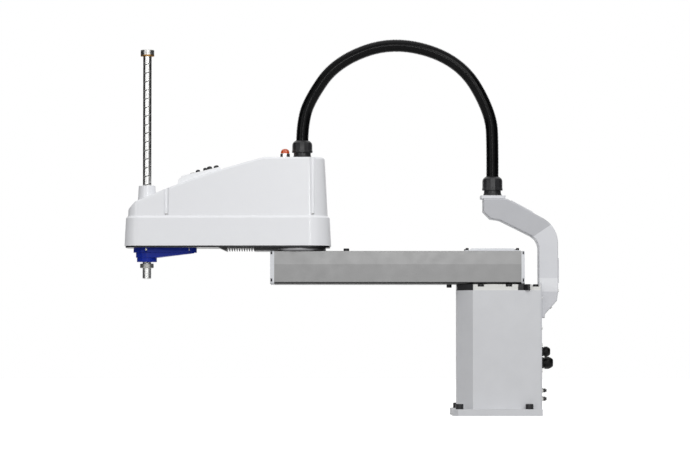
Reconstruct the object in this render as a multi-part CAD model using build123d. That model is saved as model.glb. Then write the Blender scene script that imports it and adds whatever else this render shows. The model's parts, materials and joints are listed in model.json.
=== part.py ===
from build123d import *
from math import asin, atan2, cos, degrees, radians, sin, tan
import os

# A four-axis assembly robot with a two-link horizontal arm, in millimetres.
# The first axis is on Z and the foot stands on the XY plane.
# The arm is stretched out towards -X, and the connectors are on the +X side.

# Reach, travel and limits
arm1_length = 450.0
arm2_length = 350.0
z_stroke = 300.0
j1_limit = 132.0

# Clearances and gaps
turn_gap = 0.6
running_clearance = 0.05
seat_clearance = 0.02
hole_clearance = 0.3
stop_clearance = 0.6

# Foot
foot_front = -96.0
foot_rear = 108.8
foot_half_width = 102.0
foot_height = 15.0
foot_chamfer = 12.0
base_bolt_spacing = 160.0
base_bolt_hole = 6.75

# Column
column_front = -83.6
column_rear = 106.6
column_half_width = 68.0
column_chamfer = 35.0
column_height = 272.0
column_root_fillet = 3.0
motor_well_side = 84.0
motor_well_corner = 10.0
motor_well_floor = 30.0
pocket_front = 62.0
pocket_half_width = 48.0
pocket_floor = 28.0
pocket_height = 72.0
pocket_rib = 8.0
pocket_count = 3

# Plate, stops and bolts on top of the column
flange_thickness = 8.3
flange_front = -48.0
flange_half_width = 66.0
flange_bolt_y = 56.0
flange_bolt_x = (-29.8, 34.4, 96.1)
flange_bolt_head = 6.15
flange_bolt_shank = 3.9
flange_bolt_depth = 14.0
stop_front = 55.3
stop_rear = 82.5
stop_inner_y = 50.0
stop_inner_reach = 65.5
stop_outer_reach = 74.6

# Rear panel
panel_thickness = 3.4
panel_half_width = 62.0
panel_top_gap = 0.5
panel_screw_y = 56.0
panel_screw_z = (102.0, 162.0, 200.0, 269.0)
panel_screw_head = 3.0
panel_screw_head_height = 1.8
panel_screw_shank = 1.5
panel_screw_length = 7.0
cable_window = 34.0
cable_window_z = 250.0

wiring_port_z = 80.0
wiring_port = 12.0

# Connectors on the rear panel: their places, the radii of their parts and how far they reach out
power_gland = {"y": -4.0, "z": 120.5, "radius": 14.2, "reach": 25.0, "dome": 6.0,
               "collar": 13.0, "collar_reach": 7.5, "thread": 10.0}
signal_gland = {"y": -28.0, "z": 146.4, "radius": 11.65, "reach": 18.0, "dome": 4.9,
                "collar": 10.7, "collar_reach": 5.4, "thread": 8.0}
gland_thread_length = 8.0
fitting_y = -10.0
upper_fitting = {"z": 56.8, "hexagon": 5.9, "head": 5.3}
lower_fitting = {"z": 37.7, "hexagon": 6.5, "head": 5.8}
fitting_reach = 8.5
fitting_base = 2.6
fitting_thread = 4.0

# Elbow bracket that carries the duct behind the column
bracket_half_width = 29.0
bracket_wall = 3.5
bracket_front = -22.4
bracket_top = 499.4
bracket_slope_start = 31.5
bracket_rear = 150.0
bracket_elbow_z = 435.6
bracket_outer_bend = 68.0
bracket_inner_x = 105.4
bracket_inner_elbow_z = 404.6
bracket_inner_bend = 36.8
bracket_belly_x = 15.5
bracket_belly_z = 449.2
bracket_chin_x = -6.0
bracket_chin_z = 452.6
bracket_nose_z = 469.0
bracket_skirt_z = 284.0
bracket_heel_x = 147.0
bracket_heel_z = 263.4
bracket_toe_x = 119.0
bracket_toe_z = 232.0
bracket_foot_z = 224.0
bracket_edge_radius = 4.0
bracket_side_radius = 3.0
bracket_belly_bend = 16.0
bracket_chin_bend = 8.0
cap_plate_front = -28.0
cap_plate_rear = 29.0
cap_plate_thickness = 7.2
cover_plate_thickness = 1.7
cover_plate_margin = 4.0
hand_hole_margin = 8.0
slope_cover_from = 42.0
slope_cover_to = 92.0
back_cover_low = 305.0
back_cover_high = 362.0
bracket_screw_inset = 8.0
bracket_screw_head = 2.8
bracket_screw_height = 2.0

# Duct and its glands
duct_radius = 14.75
duct_seat_gap = 0.3
duct_bore = 12.5
gland_collar = 20.5
gland_neck = 18.5
gland_nut_corner = 24.4
gland_nut_top = 15.6
gland_nut_bevel = 4.5
rear_gland_collar_height = 14.0
rear_gland_nut_height = 30.1
front_gland_offset = 9.5
front_gland_collar_height = 12.5
front_gland_nut_height = 27.8
gland_groove_height = 3.7
bend_share = 0.45
# Route of the duct: X and Z of its corners, from the front gland to the rear one
duct_route = (
    (-440.0, 670.0),
    (-426.6, 725.0),
    (-362.6, 818.5),
    (-226.8, 867.8),
    (-74.3, 821.2),
    (-2.5, 700.0),
    (0.8, 612.0),
)

# First drive, in the column
reducer_radius = 57.0
reducer_seat_depth = 25.0
reducer_rise = 7.0
reducer_plate = 6.0
bearing_outer = 46.0
bearing_height = 16.0
hub_radius = 36.0
hub_flange_radius = 52.0
hub_depth = 23.9
hub_cup = 29.0
hub_cup_floor = 1.9
generator_major = 28.6
generator_minor = 27.8
generator_height = 15.0
generator_gap = 3.0
motor_shaft = 7.0
motor_shaft_reach = 8.0
motor1_side = 80.0
motor1_corner = 8.0
motor1_length = 120.0

# First arm
beam_clearance = 6.2
beam_height = 76.0
beam_half_width = 57.0
beam_top_half_width = 56.2
beam_crease = 45.5
beam_edge_radius = 5.0
beam_top_edge_radius = 1.5
beam_wall = 6.0
beam_web = 5.0
beam_web_y = 18.0
beam_overhang = 54.1
beam_rear = 63.7
front_cap_thickness = 9.4
rear_cap_thickness = 7.6
cap_notch = 8.0
cap_notch_shift = 1.0
cap_notch_depth = 5.0
cap_screw_head = 3.0
cap_screw_height = 3.2
cable_hole = 12.0
hatch_hole = 40.0
hatch_front = -66.0
hatch_rear = 62.0
hatch_half_width = 50.0
hatch_flange = 1.8
hatch_height = 6.6
hatch_rim = 10.0
hatch_bevel = 6.0
hatch_screw_front = -60.5
hatch_screw_rear = 55.5
hatch_screw_y = 44.0
hatch_screw_head = 3.6
hatch_screw_height = 5.2
j1_stop_orbit = 100.6
j1_stop_bolt = 6.0
j1_stop_bolt_height = 7.5
j2_stop_orbit = 111.7
j2_stop_bolt = 6.65
j2_stop_bolt_height = 7.3

# Second drive, at the elbow
elbow_hub_radius = 34.0
elbow_hub_height = 26.5
elbow_cup = 28.0
elbow_cup_floor = 6.5
elbow_bearing_outer = 43.0
elbow_bearing_height = 14.0
elbow_reducer_radius = 50.0
elbow_reducer_height = 26.2
elbow_generator_major = 27.6
elbow_generator_minor = 26.8
elbow_generator_height = 14.0
motor2_side = 76.0
motor2_corner = 8.0
motor2_length = 122.0

# Second arm: reaches and offsets along it are measured from the elbow's axis or the wrist's
elbow_disc_radius = 64.4
disc_thickness = 7.7
heat_plate_reach = 183.0
heat_plate_bevel = 17.0
heat_plate_half_width = 46.0
first_fin_reach = 161.0
fin_pitch = 5.6
fin_gap = 2.8
fin_count = 10
fin_depth = 4.4
underplate_thickness = 3.9
underplate_inset = 2.5
arm2_rear_reach = 76.6
arm2_front_reach = 50.3
arm2_rear_half_width = 72.0
arm2_front_half_width = 58.0
arm2_rear_corner = 50.0
arm2_front_corner = 35.0
tray_height = 64.1
tray_draft = 3.3
tray_ledge = 5.0
tray_wall = 4.0
tray_floor = 8.0
cover_inset = 8.0
cover_height = 135.4
cover_draft = 7.1
cover_wall = 3.5
cover_edge_radius = 7.0
cover_rim_band = 1.0
steepest_crown_slope = 0.9
roof_flat_reach = 78.0
roof_mid_offset = 124.0
roof_mid_drop = 44.0
roof_low_reach = 24.0
roof_low_drop = 101.5
nose_inset = 0.3
nose_drop = 129.0
front_flute_offset = 47.5
rear_flute_offset = 34.5
flute_low_radius = 5.5
flute_high_radius = 8.5
flute_depth = 4.5
flute_floor = 2.5
flute_wall = 2.5
boss_top_radius = 19.3
boss_low_radius = 22.4
boss_height = 50.0
boss_top_drop = 64.0
boss_rim_radius = 2.0
boss_bore = 11.5
cover_screw_head = 2.6
cover_screw_height = 2.4

# Panel for the user's connectors, on the sloping roof: what stands on it is placed from its front edge
user_panel_half_width = 38.0
user_panel_offset = 82.0
user_panel_toe_reach = 8.5
user_panel_length = 89.5
user_panel_drop = 42.9
user_panel_slope = 13.3
user_panel_lip = 10.6
user_panel_edge = 3.0
socket_corner = 3.0
button_radius = 5.3
button_height = 4.6
button_depth = 8.0
button_travel = 2.0
button_x = 36.5
# Push-in air fittings on the panel: X, Y, radius and height
panel_fittings = ((53.5, -12.0, 4.4, 7.4), (63.0, 8.0, 6.6, 9.6), (79.0, -4.0, 6.0, 7.4))
serial_socket = {"x": 24.0, "width": 9.5, "length": 38.0, "height": 3.0}
network_socket = {"x": 9.0, "width": 12.0, "length": 16.0, "height": 1.8}

# Lamp
lamp_reach = 30.3
lamp_bezel_radius = 11.3
lamp_bezel_height = 10.8
lamp_dome_radius = 10.0
lamp_dome_height = 11.0
lamp_dome_edge = 8.5
lamp_rim = 2.0

# Blue housing under the wrist
housing_flange_height = 10.8
housing_flange_radius = 31.0
housing_tail_offset = 98.5
housing_tail_radius = 17.0
housing_body_height = 11.5
housing_body_radius = 25.4
housing_body_tail = 11.0
housing_body_slope_rise = 10.2
housing_boss_radius = 23.1
housing_boss_height = 10.1
housing_bore = 22.0
housing_seal = 10.4
housing_edge = 1.0
housing_screw_head = 4.2
housing_screw_height = 4.2
housing_screw_shank = 2.0
housing_screw_ledge = 2.0
# Screws of the blue housing: X from the wrist's axis, and Y
housing_screw_places = ((0.0, -27.0), (0.0, 27.0), (98.0, -12.5), (98.0, 12.5))

# Ball screw spline
shaft_radius = 10.0
shaft_bore = 7.0
shaft_low = 314.5
shaft_relief = 0.3
shaft_relief_width = 1.5
spline_groove = 1.3
spline_groove_depth = 0.7
spline_groove_count = 3
collar_radius = 15.8
collar_height = 10.4
collar_gap = 3.8
cushion_height = 3.2
cap_height = 11.5
nut_radius = 17.0
nut_bearing_height = 12.0
spline_nut_top_gap = 6.0
spline_pulley_radius = 24.0
spline_pulley_flange = 26.0
spline_pulley_lift = 9.0
pulley_height = 14.0
pulley_lip = 2.0
carrier_low = 434.0
carrier_thickness = 10.0
carrier_radius = 41.0
carrier_post = 5.0
carrier_post_x = 24.0
carrier_post_y = 34.0
ball_nut_height = 38.0
ball_pulley_radius = 22.0
ball_pulley_flange = 24.0
ball_pulley_lift = 3.0
brake_plate_low = 464.0
brake_plate = 4.0
brake_radius = 24.0
brake_height = 12.0

# Wrist drives
belt_thickness = 1.6
belt_gap = 0.15
belt_width = 9.0
z_motor_offset = 140.0
z_motor_pulley = 12.0
u_motor_offset = 220.0
u_motor_pulley = 10.0
wrist_motor_side = 60.0
wrist_motor_corner = 6.0
z_motor_length = 68.0
u_motor_length = 90.0
mount_plate = 6.0
mount_wall = 5.0
mount_half_width = 39.0
mount_half_length = 30.0
mount_hole = 16.0

# Axes of the joints
j2_x = -arm1_length
j4_x = j2_x - arm2_length

# Places along the arms that follow from the axes
beam_front = j2_x - beam_overhang
front_gland_x = j2_x + front_gland_offset
heat_plate_front = j2_x - heat_plate_reach
first_fin_x = j2_x - first_fin_reach
lamp_x = j2_x - lamp_reach
arm2_rear = j2_x + arm2_rear_reach
arm2_front = j4_x - arm2_front_reach
roof_flat_front = j2_x - roof_flat_reach
roof_mid_x = j4_x + roof_mid_offset
roof_low_x = j4_x - roof_low_reach
nose_x = arm2_front + nose_inset
flute_x = (j4_x + front_flute_offset, j2_x + rear_flute_offset)
user_panel_front = j4_x + user_panel_offset
housing_tail_x = j4_x + housing_tail_offset
housing_screws = [(j4_x + x, y) for x, y in housing_screw_places]
z_motor_x = j4_x + z_motor_offset
u_motor_x = j4_x + u_motor_offset

# Heights that follow from the sizes
column_top = foot_height + column_height
flange_top = column_top + flange_thickness
beam_low = flange_top + beam_clearance
beam_top = beam_low + beam_height
disc_low = beam_top + turn_gap
disc_top = disc_low + disc_thickness
tray_low = disc_top + underplate_thickness
tray_top = tray_low + tray_height
cover_low = tray_top + tray_ledge
cover_top = cover_low + cover_height
boss_top = cover_top - boss_top_drop
panel_face = column_rear + panel_thickness
reducer_seat = column_top - reducer_seat_depth
tray_floor_top = tray_low + tray_floor
housing_low = disc_top - housing_flange_height - housing_body_height - housing_boss_height


def cylinder(radius, low, high, x=0.0, y=0.0):
    """A round solid standing between two heights."""
    shape = Cylinder(radius, high - low, align=(Align.CENTER, Align.CENTER, Align.MIN))
    return Pos(x, y, low) * shape


def ring(outer, inner, low, high, x=0.0, y=0.0):
    """A round solid with a hole through it."""
    return cylinder(outer, low, high, x, y) - cylinder(inner, low, high, x, y)


def block(front, rear, half_width, low, high):
    """A box that is symmetric about the arm's middle plane."""
    shape = Box(rear - front, 2 * half_width, high - low, align=(Align.MIN, Align.CENTER, Align.MIN))
    return Pos(front, 0, low) * shape


def rounded_block(side, corner, low, high, x=0.0):
    """A square solid with round upright edges."""
    outline = Pos(x, 0, low) * RectangleRounded(side, side, corner)
    return extrude(outline, high - low)


def side_prism(points, half_width):
    """A solid with a given outline in the XZ plane."""
    outline = Plane.XZ * make_face(Polyline(*points, close=True))
    return extrude(outline, half_width, both=True)


def plan_prism(points, low, high):
    """A solid with a given outline seen from above."""
    outline = Pos(0, 0, low) * make_face(Polyline(*points, close=True))
    return extrude(outline, high - low)


def rod_x(radius, front, rear, y, z):
    """A round solid along X."""
    shape = Cylinder(radius, rear - front, align=(Align.CENTER, Align.CENTER, Align.MIN))
    return Pos(front, y, z) * Rot(0, 90, 0) * shape


def turned(points):
    """A solid turned about Z from the radius and height of each corner of its section."""
    outline = Plane.XZ * make_face(Polyline(*points, close=True))
    return revolve(outline, Axis.Z, 360)


def hull_of_circles(circles, height):
    """The outline round several circles, each given by X, Y and radius."""
    edges = [Edge.make_circle(r, Plane(origin=(x, y, 0))) for x, y, r in circles]
    return Pos(0, 0, height) * make_hull(edges)


def group(solids):
    """Several separate solids that share one node."""
    return Compound(children=list(solids))


def mirrored_pairs(places):
    """Each place with its mirror image across the middle plane."""
    return [(x, side * y) for x, y in places for side in (-1, 1)]


# Base


def column_plan():
    """The column from above, with its front corners cut off."""
    shoulder = column_front + column_chamfer
    cheek = column_half_width - column_chamfer
    return (
        (column_front, -cheek),
        (column_front, cheek),
        (shoulder, column_half_width),
        (column_rear, column_half_width),
        (column_rear, -column_half_width),
        (shoulder, -column_half_width),
    )


def foot_plan():
    """The foot from above, with its front corners cut off."""
    shoulder = foot_front + foot_chamfer
    cheek = foot_half_width - foot_chamfer
    return (
        (foot_front, -cheek),
        (foot_front, cheek),
        (shoulder, foot_half_width),
        (foot_rear, foot_half_width),
        (foot_rear, -foot_half_width),
        (shoulder, -foot_half_width),
    )


def flange_bolt_places():
    return mirrored_pairs([(x, flange_bolt_y) for x in flange_bolt_x])


def panel_screw_places():
    return mirrored_pairs([(z, panel_screw_y) for z in panel_screw_z])


def make_base_casting():
    """Foot and column in one casting, with the motor well and the wiring pockets."""
    body = plan_prism(foot_plan(), 0, foot_height) + plan_prism(column_plan(), foot_height, column_top)
    body -= rounded_block(motor_well_side, motor_well_corner, motor_well_floor, column_top)
    body -= cylinder(reducer_radius + seat_clearance, reducer_seat, column_top)
    for i in range(pocket_count):
        low = pocket_floor + i * (pocket_height + pocket_rib)
        body -= block(pocket_front, column_rear, pocket_half_width, low, low + pocket_height)
    body -= block(pocket_front, column_rear, cable_window / 2, cable_window_z - cable_window / 2,
                  cable_window_z + cable_window / 2)
    body -= rod_x(wiring_port, 0, pocket_front, 0, wiring_port_z)
    half = base_bolt_spacing / 2
    for x, y in ((-half, -half), (-half, half), (half, -half), (half, half)):
        body -= cylinder(base_bolt_hole, 0, foot_height, x, y)
    for x, y in flange_bolt_places():
        body -= cylinder(flange_bolt_shank + seat_clearance, column_top - flange_bolt_depth, column_top, x, y)
    for z, y in panel_screw_places():
        body -= rod_x(panel_screw_shank + seat_clearance, column_rear - panel_screw_length, column_rear, y, z)
    return body


def stop_plan(side):
    """A stop seen from above: its slanted face meets the stop bolt at the end of the turn."""
    bolt_share = degrees(asin(j1_stop_bolt / j1_stop_orbit))
    gap_share = degrees(stop_clearance / j1_stop_orbit)
    face = radians(180.0 - j1_limit - bolt_share - gap_share)
    inner_x = stop_inner_reach / tan(face)
    outer_x = stop_outer_reach / tan(face)
    return (
        (stop_front, side * stop_inner_y),
        (stop_front, side * stop_inner_reach),
        (inner_x, side * stop_inner_reach),
        (outer_x, side * stop_outer_reach),
        (stop_rear, side * stop_outer_reach),
        (stop_rear, side * stop_inner_y),
    )


def make_base_top_flange():
    """Plate that holds the first reducer down, notched for the two stops."""
    plate = block(flange_front, column_rear, flange_half_width, column_top, flange_top)
    plate -= cylinder(reducer_radius + hole_clearance, column_top, flange_top)
    for side in (-1, 1):
        notch = Pos(0, side * (stop_inner_y + stop_outer_reach) / 2, 0) * block(
            stop_front - hole_clearance, stop_rear + hole_clearance,
            (stop_outer_reach - stop_inner_y) / 2 + hole_clearance, column_top, flange_top)
        plate -= notch
    for x, y in flange_bolt_places():
        plate -= cylinder(flange_bolt_shank + hole_clearance, column_top, flange_top, x, y)
    return plate


def make_base_front_cap():
    """Black block over the cut-off corners of the column."""
    shoulder = column_front + column_chamfer
    whole = plan_prism(column_plan(), column_top, beam_low - turn_gap)
    front = block(column_front, shoulder, column_half_width, column_top, beam_low)
    return whole & front - cylinder(reducer_radius + hole_clearance, column_top, beam_low)


def make_j1_stop_blocks():
    return group(plan_prism(stop_plan(side), column_top, beam_low - turn_gap) for side in (-1, 1))


def make_top_flange_bolts():
    bolts = []
    for x, y in flange_bolt_places():
        head = cylinder(flange_bolt_head, flange_top, beam_low - turn_gap, x, y)
        bolts.append(head + cylinder(flange_bolt_shank, column_top - flange_bolt_depth, flange_top, x, y))
    return group(bolts)


def make_base_rear_panel():
    """Sheet that closes the back of the column and carries the connectors."""
    panel = block(column_rear, panel_face, panel_half_width, foot_height, beam_low - panel_top_gap)
    panel -= block(column_rear, panel_face, cable_window / 2, cable_window_z - cable_window / 2,
                   cable_window_z + cable_window / 2)
    for gland in (power_gland, signal_gland):
        panel -= rod_x(gland["thread"] + hole_clearance, column_rear, panel_face, gland["y"], gland["z"])
    for fitting in (upper_fitting, lower_fitting):
        panel -= rod_x(fitting_thread + hole_clearance, column_rear, panel_face, fitting_y, fitting["z"])
    for z, y in panel_screw_places():
        panel -= rod_x(panel_screw_shank + hole_clearance, column_rear, panel_face, y, z)
    return panel


def bracket_screw_places():
    """Small screws on the lower end of the bracket: X, Y, Z and the tilt of their heads."""
    heel_tilt = degrees(atan2(bracket_heel_x - bracket_toe_x, bracket_heel_z - bracket_toe_z))
    side_y = bracket_half_width - bracket_screw_inset
    places = []
    for y in (-side_y, side_y):
        places.append((bracket_rear, y, bracket_skirt_z + bracket_screw_head, 90.0))
        middle_x = (bracket_heel_x + bracket_toe_x) / 2
        middle_z = (bracket_heel_z + bracket_toe_z) / 2
        places.append((middle_x, y, middle_z, 90.0 + heel_tilt))
    return places


def make_panel_screws():
    screws = []
    for z, y in panel_screw_places():
        head = rod_x(panel_screw_head, panel_face, panel_face + panel_screw_head_height, y, z)
        shank = rod_x(panel_screw_shank, column_rear - panel_screw_length + turn_gap, panel_face, y, z)
        screws.append(head + shank)
    for x, y, z, tilt in bracket_screw_places():
        head = Cylinder(bracket_screw_head, bracket_screw_height,
                        align=(Align.CENTER, Align.CENTER, Align.MIN))
        screws.append(Pos(x, y, z) * Rot(0, tilt, 0) * head)
    return group(screws)


def cable_gland(gland):
    """Screwed gland with a round dome nut, along X."""
    y, z = gland["y"], gland["z"]
    nut_start = panel_face + gland["collar_reach"]
    nut = rod_x(gland["radius"], nut_start, panel_face + gland["reach"], y, z)
    nut = fillet(nut.edges().filter_by(GeomType.CIRCLE).sort_by(Axis.X)[-1], gland["dome"])
    collar = rod_x(gland["collar"], panel_face, nut_start, y, z)
    thread = rod_x(gland["thread"], panel_face - gland_thread_length, panel_face, y, z)
    return nut + collar + thread


def make_rear_cable_glands():
    return group(cable_gland(gland) for gland in (power_gland, signal_gland))


def make_rear_air_fittings():
    fittings = []
    for fitting in (upper_fitting, lower_fitting):
        z = fitting["z"]
        hexagon = extrude(RegularPolygon(fitting["hexagon"], 6), fitting_base)
        body = Pos(panel_face, fitting_y, z) * Rot(0, 90, 0) * hexagon
        body += rod_x(fitting["head"], panel_face + fitting_base, panel_face + fitting_reach, fitting_y, z)
        body += rod_x(fitting_thread, panel_face - gland_thread_length, panel_face, fitting_y, z)
        fittings.append(body)
    return group(fittings)


# Duct bracket and duct


def bracket_outline():
    """Side view of the elbow bracket, with its bends as arcs."""
    corners = (
        (bracket_front, bracket_top, 0.0),
        (bracket_slope_start, bracket_top, bracket_edge_radius),
        (bracket_rear, bracket_elbow_z, bracket_outer_bend),
        (bracket_rear, bracket_skirt_z, 0.0),
        (bracket_heel_x, bracket_heel_z, bracket_edge_radius),
        (bracket_toe_x, bracket_toe_z, bracket_edge_radius),
        (bracket_toe_x, bracket_foot_z, 0.0),
        (panel_face, bracket_foot_z, 0.0),
        (panel_face, beam_low, 0.0),
        (bracket_inner_x, beam_low, 0.0),
        (bracket_inner_x, bracket_inner_elbow_z, bracket_inner_bend),
        (bracket_belly_x, bracket_belly_z, bracket_belly_bend),
        (bracket_chin_x, bracket_chin_z, bracket_chin_bend),
        (bracket_front, bracket_nose_z, bracket_edge_radius),
    )
    points = [(x, z) for x, z, _ in corners]
    radii = [radius for _, _, radius in corners]
    return make_face(FilletPolyline(*points, radius=radii, close=True))


def slope_angle():
    """How steeply the bracket's back slopes down, in degrees."""
    return degrees(atan2(bracket_top - bracket_elbow_z, bracket_rear - bracket_slope_start))


def slope_height(x):
    """Height of the bracket's sloping back."""
    return bracket_top - (x - bracket_slope_start) * tan(radians(slope_angle()))


def on_slope(length, half_width, low, high):
    """A plate that lies along the middle of the sloping cover."""
    x = (slope_cover_from + slope_cover_to) / 2
    plate = Box(length, 2 * half_width, high - low, align=(Align.CENTER, Align.CENTER, Align.MIN))
    return Pos(x, 0, slope_height(x)) * Rot(0, slope_angle(), 0) * Pos(0, 0, low) * plate


def slope_cover_length():
    return (slope_cover_to - slope_cover_from) / cos(radians(slope_angle()))


def make_duct_bracket():
    """Hollow elbow that stands on the rear panel and holds the duct over the first axis."""
    outline = bracket_outline()
    outer = extrude(Plane.XZ * outline, bracket_half_width, both=True)
    inner_outline = offset(outline, -bracket_wall, kind=Kind.INTERSECTION)
    inner = extrude(Plane.XZ * inner_outline, bracket_half_width - bracket_wall, both=True)
    outer = fillet(outer.faces().filter_by(Axis.Y).edges(), bracket_side_radius)
    body = outer - inner
    top_plate = block(cap_plate_front, cap_plate_rear, bracket_half_width, bracket_top,
                      bracket_top + cap_plate_thickness)
    top_plate = fillet(top_plate.edges().filter_by(Axis.Z), bracket_edge_radius)
    body += top_plate
    body -= cylinder(duct_radius, bracket_top - 2 * bracket_wall, bracket_top + cap_plate_thickness)
    body -= block(panel_face, panel_face + 2 * bracket_wall, cable_window / 2,
                  cable_window_z - cable_window / 2, cable_window_z + cable_window / 2)
    window = bracket_half_width - cover_plate_margin - hand_hole_margin
    body -= on_slope(slope_cover_length() - 2 * hand_hole_margin, window, -2 * bracket_wall, bracket_wall)
    body -= block(bracket_rear - 2 * bracket_wall, bracket_rear, window,
                  back_cover_low + hand_hole_margin, back_cover_high - hand_hole_margin)
    return body


def make_bracket_cover_plates():
    """Thin plates over the two hand holes of the bracket."""
    half_width = bracket_half_width - cover_plate_margin
    slope = on_slope(slope_cover_length(), half_width, 0, cover_plate_thickness)
    back = block(bracket_rear, bracket_rear + cover_plate_thickness, half_width, back_cover_low,
                 back_cover_high)
    return group([slope, back])


def duct_gland(x, low, collar_height, nut_height):
    """Gland that holds the duct's end: a collar, a groove and a six-sided nut."""
    nut_low = low + collar_height
    top = nut_low + nut_height
    body = cylinder(gland_collar, low, nut_low - gland_groove_height, x)
    body += cylinder(gland_neck, nut_low - gland_groove_height, nut_low, x)
    nut = Pos(x, 0, nut_low) * extrude(RegularPolygon(gland_nut_corner, 6), nut_height)
    bevel = Pos(x, 0, 0) * turned((
        (0, nut_low),
        (gland_nut_corner, nut_low),
        (gland_nut_corner, top - 2 * gland_nut_bevel),
        (gland_nut_top + gland_nut_bevel, top - gland_nut_bevel),
        (gland_nut_top, top),
        (0, top),
    ))
    body += nut & bevel
    return body - cylinder(duct_bore, low, top, x)


def rear_gland_top():
    return bracket_top + cap_plate_thickness + rear_gland_collar_height + rear_gland_nut_height


def front_gland_top():
    return cover_top + front_gland_collar_height + front_gland_nut_height


def make_rear_duct_gland():
    low = bracket_top + cap_plate_thickness
    return duct_gland(0, low, rear_gland_collar_height, rear_gland_nut_height)


def make_front_duct_gland():
    return duct_gland(front_gland_x, cover_top, front_gland_collar_height, front_gland_nut_height)


def duct_points():
    """Corners of the duct's route, with both ends just above their glands."""
    first = (front_gland_x, front_gland_top() + duct_seat_gap)
    last = (0.0, rear_gland_top() + duct_seat_gap)
    return [Vector(x, 0, z) for x, z in (first, *duct_route, last)]


def duct_radii(points):
    """Radius of the bend at each corner, as large as its two runs allow."""
    radii = []
    for before, corner, after in zip(points, points[1:], points[2:]):
        shorter = min((corner - before).length, (after - corner).length)
        turn = radians((corner - before).get_angle(after - corner))
        radii.append(bend_share * shorter / tan(turn / 2))
    return radii


def make_cable_duct():
    """Plain outer shape of the corrugated duct."""
    points = duct_points()
    radii = duct_radii(points)
    path = FilletPolyline(*points, radius=radii)
    section = Plane(origin=path @ 0, z_dir=path % 0) * Circle(duct_radius)
    tube = sweep(section, path=path)
    print("duct radii", [round(r) for r in radii])
    print("duct length", round(path.length, 1), "volume share", tube.volume / (section.area * path.length))
    return tube


# First drive


def make_j1_reducer_housing():
    """Fixed outer part of the first reducer, seated in the top of the column."""
    top = column_top + reducer_rise
    body = cylinder(reducer_radius, reducer_seat, top)
    body -= cylinder(bearing_outer + seat_clearance, reducer_seat + reducer_plate, top)
    return body - cylinder(cable_hole, reducer_seat, top)


def make_j1_bearing():
    """Crossed-roller bearing that carries the first arm."""
    top = column_top + reducer_rise
    return ring(bearing_outer, hub_radius + running_clearance, top - bearing_height, top)


def make_j1_output_flange():
    """Hub bolted under the first arm, with the cup that the wave generator turns in."""
    low = flange_top + turn_gap
    body = cylinder(hub_flange_radius, low, beam_low) + cylinder(hub_radius, low - hub_depth, low)
    return body - cylinder(hub_cup, low - hub_depth, low - hub_cup_floor)


def wave_generator(major, minor, low, high, shaft_low, shaft_high, x=0.0):
    """Oval plug on the motor's shaft."""
    plug = extrude(Pos(x, 0, low) * Ellipse(major, minor), high - low)
    return plug + cylinder(motor_shaft, shaft_low, shaft_high, x)


def make_j1_wave_generator():
    high = flange_top + turn_gap - hub_cup_floor - generator_gap
    low = high - generator_height
    return wave_generator(generator_major, generator_minor, low, high, reducer_seat - motor_shaft_reach, high)


def motor(side, corner, low, high, shaft_low, shaft_high, x=0.0):
    """Square motor with round edges and the hole that its shaft comes out of."""
    body = rounded_block(side, corner, low, high, x)
    return body - cylinder(motor_shaft + running_clearance, shaft_low, shaft_high, x)


def make_j1_motor():
    low = reducer_seat - motor1_length
    return motor(motor1_side, motor1_corner, low, reducer_seat, reducer_seat - motor_shaft_reach - turn_gap,
                 reducer_seat)


# First arm


def beam_outline(shrink=0.0):
    """End view of the beam, half width against height, with its crease."""
    edge = beam_edge_radius
    top_edge = beam_top_edge_radius
    low = beam_low + shrink
    top = beam_top - shrink
    crease = beam_low + beam_crease
    wide = beam_half_width - shrink
    narrow = beam_top_half_width - shrink
    corners = (
        (-wide, low, edge),
        (wide, low, edge),
        (wide, crease, 0.0),
        (narrow, top, top_edge),
        (-narrow, top, top_edge),
        (-wide, crease, 0.0),
    )
    points = [(y, z) for y, z, _ in corners]
    radii = [radius for _, _, radius in corners]
    return make_face(FilletPolyline(*points, radius=radii, close=True))


def along_beam(outline, front, rear):
    """The outline, drawn looking along the beam, made into a length of it."""
    end = Plane(origin=(front, 0, 0), x_dir=(0, 1, 0), z_dir=(1, 0, 0))
    return extrude(end * outline, rear - front)


def beam_cells():
    """The hollow cells of the beam, between its walls and webs."""
    inner = along_beam(beam_outline(beam_wall), beam_front, beam_rear)
    for side in (-1, 1):
        web = block(beam_front, beam_rear, beam_web / 2, beam_low, beam_top)
        inner -= Pos(0, side * beam_web_y, 0) * web
    return inner


def make_arm1_beam():
    """Extruded beam of the first arm."""
    body = along_beam(beam_outline(), beam_front, beam_rear) - beam_cells()
    body -= cylinder(cable_hole, beam_low, beam_low + beam_wall)
    body -= cylinder(hatch_hole, beam_top - beam_wall, beam_top)
    return body - cylinder(cable_hole, beam_top - beam_wall, beam_top, j2_x)


def cap_corners():
    """Corners of an end cap where its screws sit: Y and Z."""
    y = beam_top_half_width - cap_notch / 2
    low = beam_low + beam_edge_radius + cap_notch / 2
    high = beam_top - cap_notch / 2
    return [(side * y, z) for side in (-1, 1) for z in (low, high)]


def cap_notches(front, rear):
    """Notches in an end cap's corners, open to its sides."""
    notches = []
    for y, z in cap_corners():
        notch = Box(rear - front, cap_notch, cap_notch, align=(Align.MIN, Align.CENTER, Align.CENTER))
        shift = cap_notch_shift if y > 0 else -cap_notch_shift
        notches.append(Pos(front, y + shift, z) * notch)
    return notches


def make_front_end_cap():
    front = beam_front - front_cap_thickness
    cap = along_beam(beam_outline(), front, beam_front)
    for notch in cap_notches(front, front + cap_notch_depth):
        cap -= notch
    return cap


def make_rear_end_cap():
    rear = beam_rear + rear_cap_thickness
    cap = along_beam(beam_outline(), beam_rear, rear)
    for notch in cap_notches(rear - cap_notch_depth, rear):
        cap -= notch
    return cap


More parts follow.
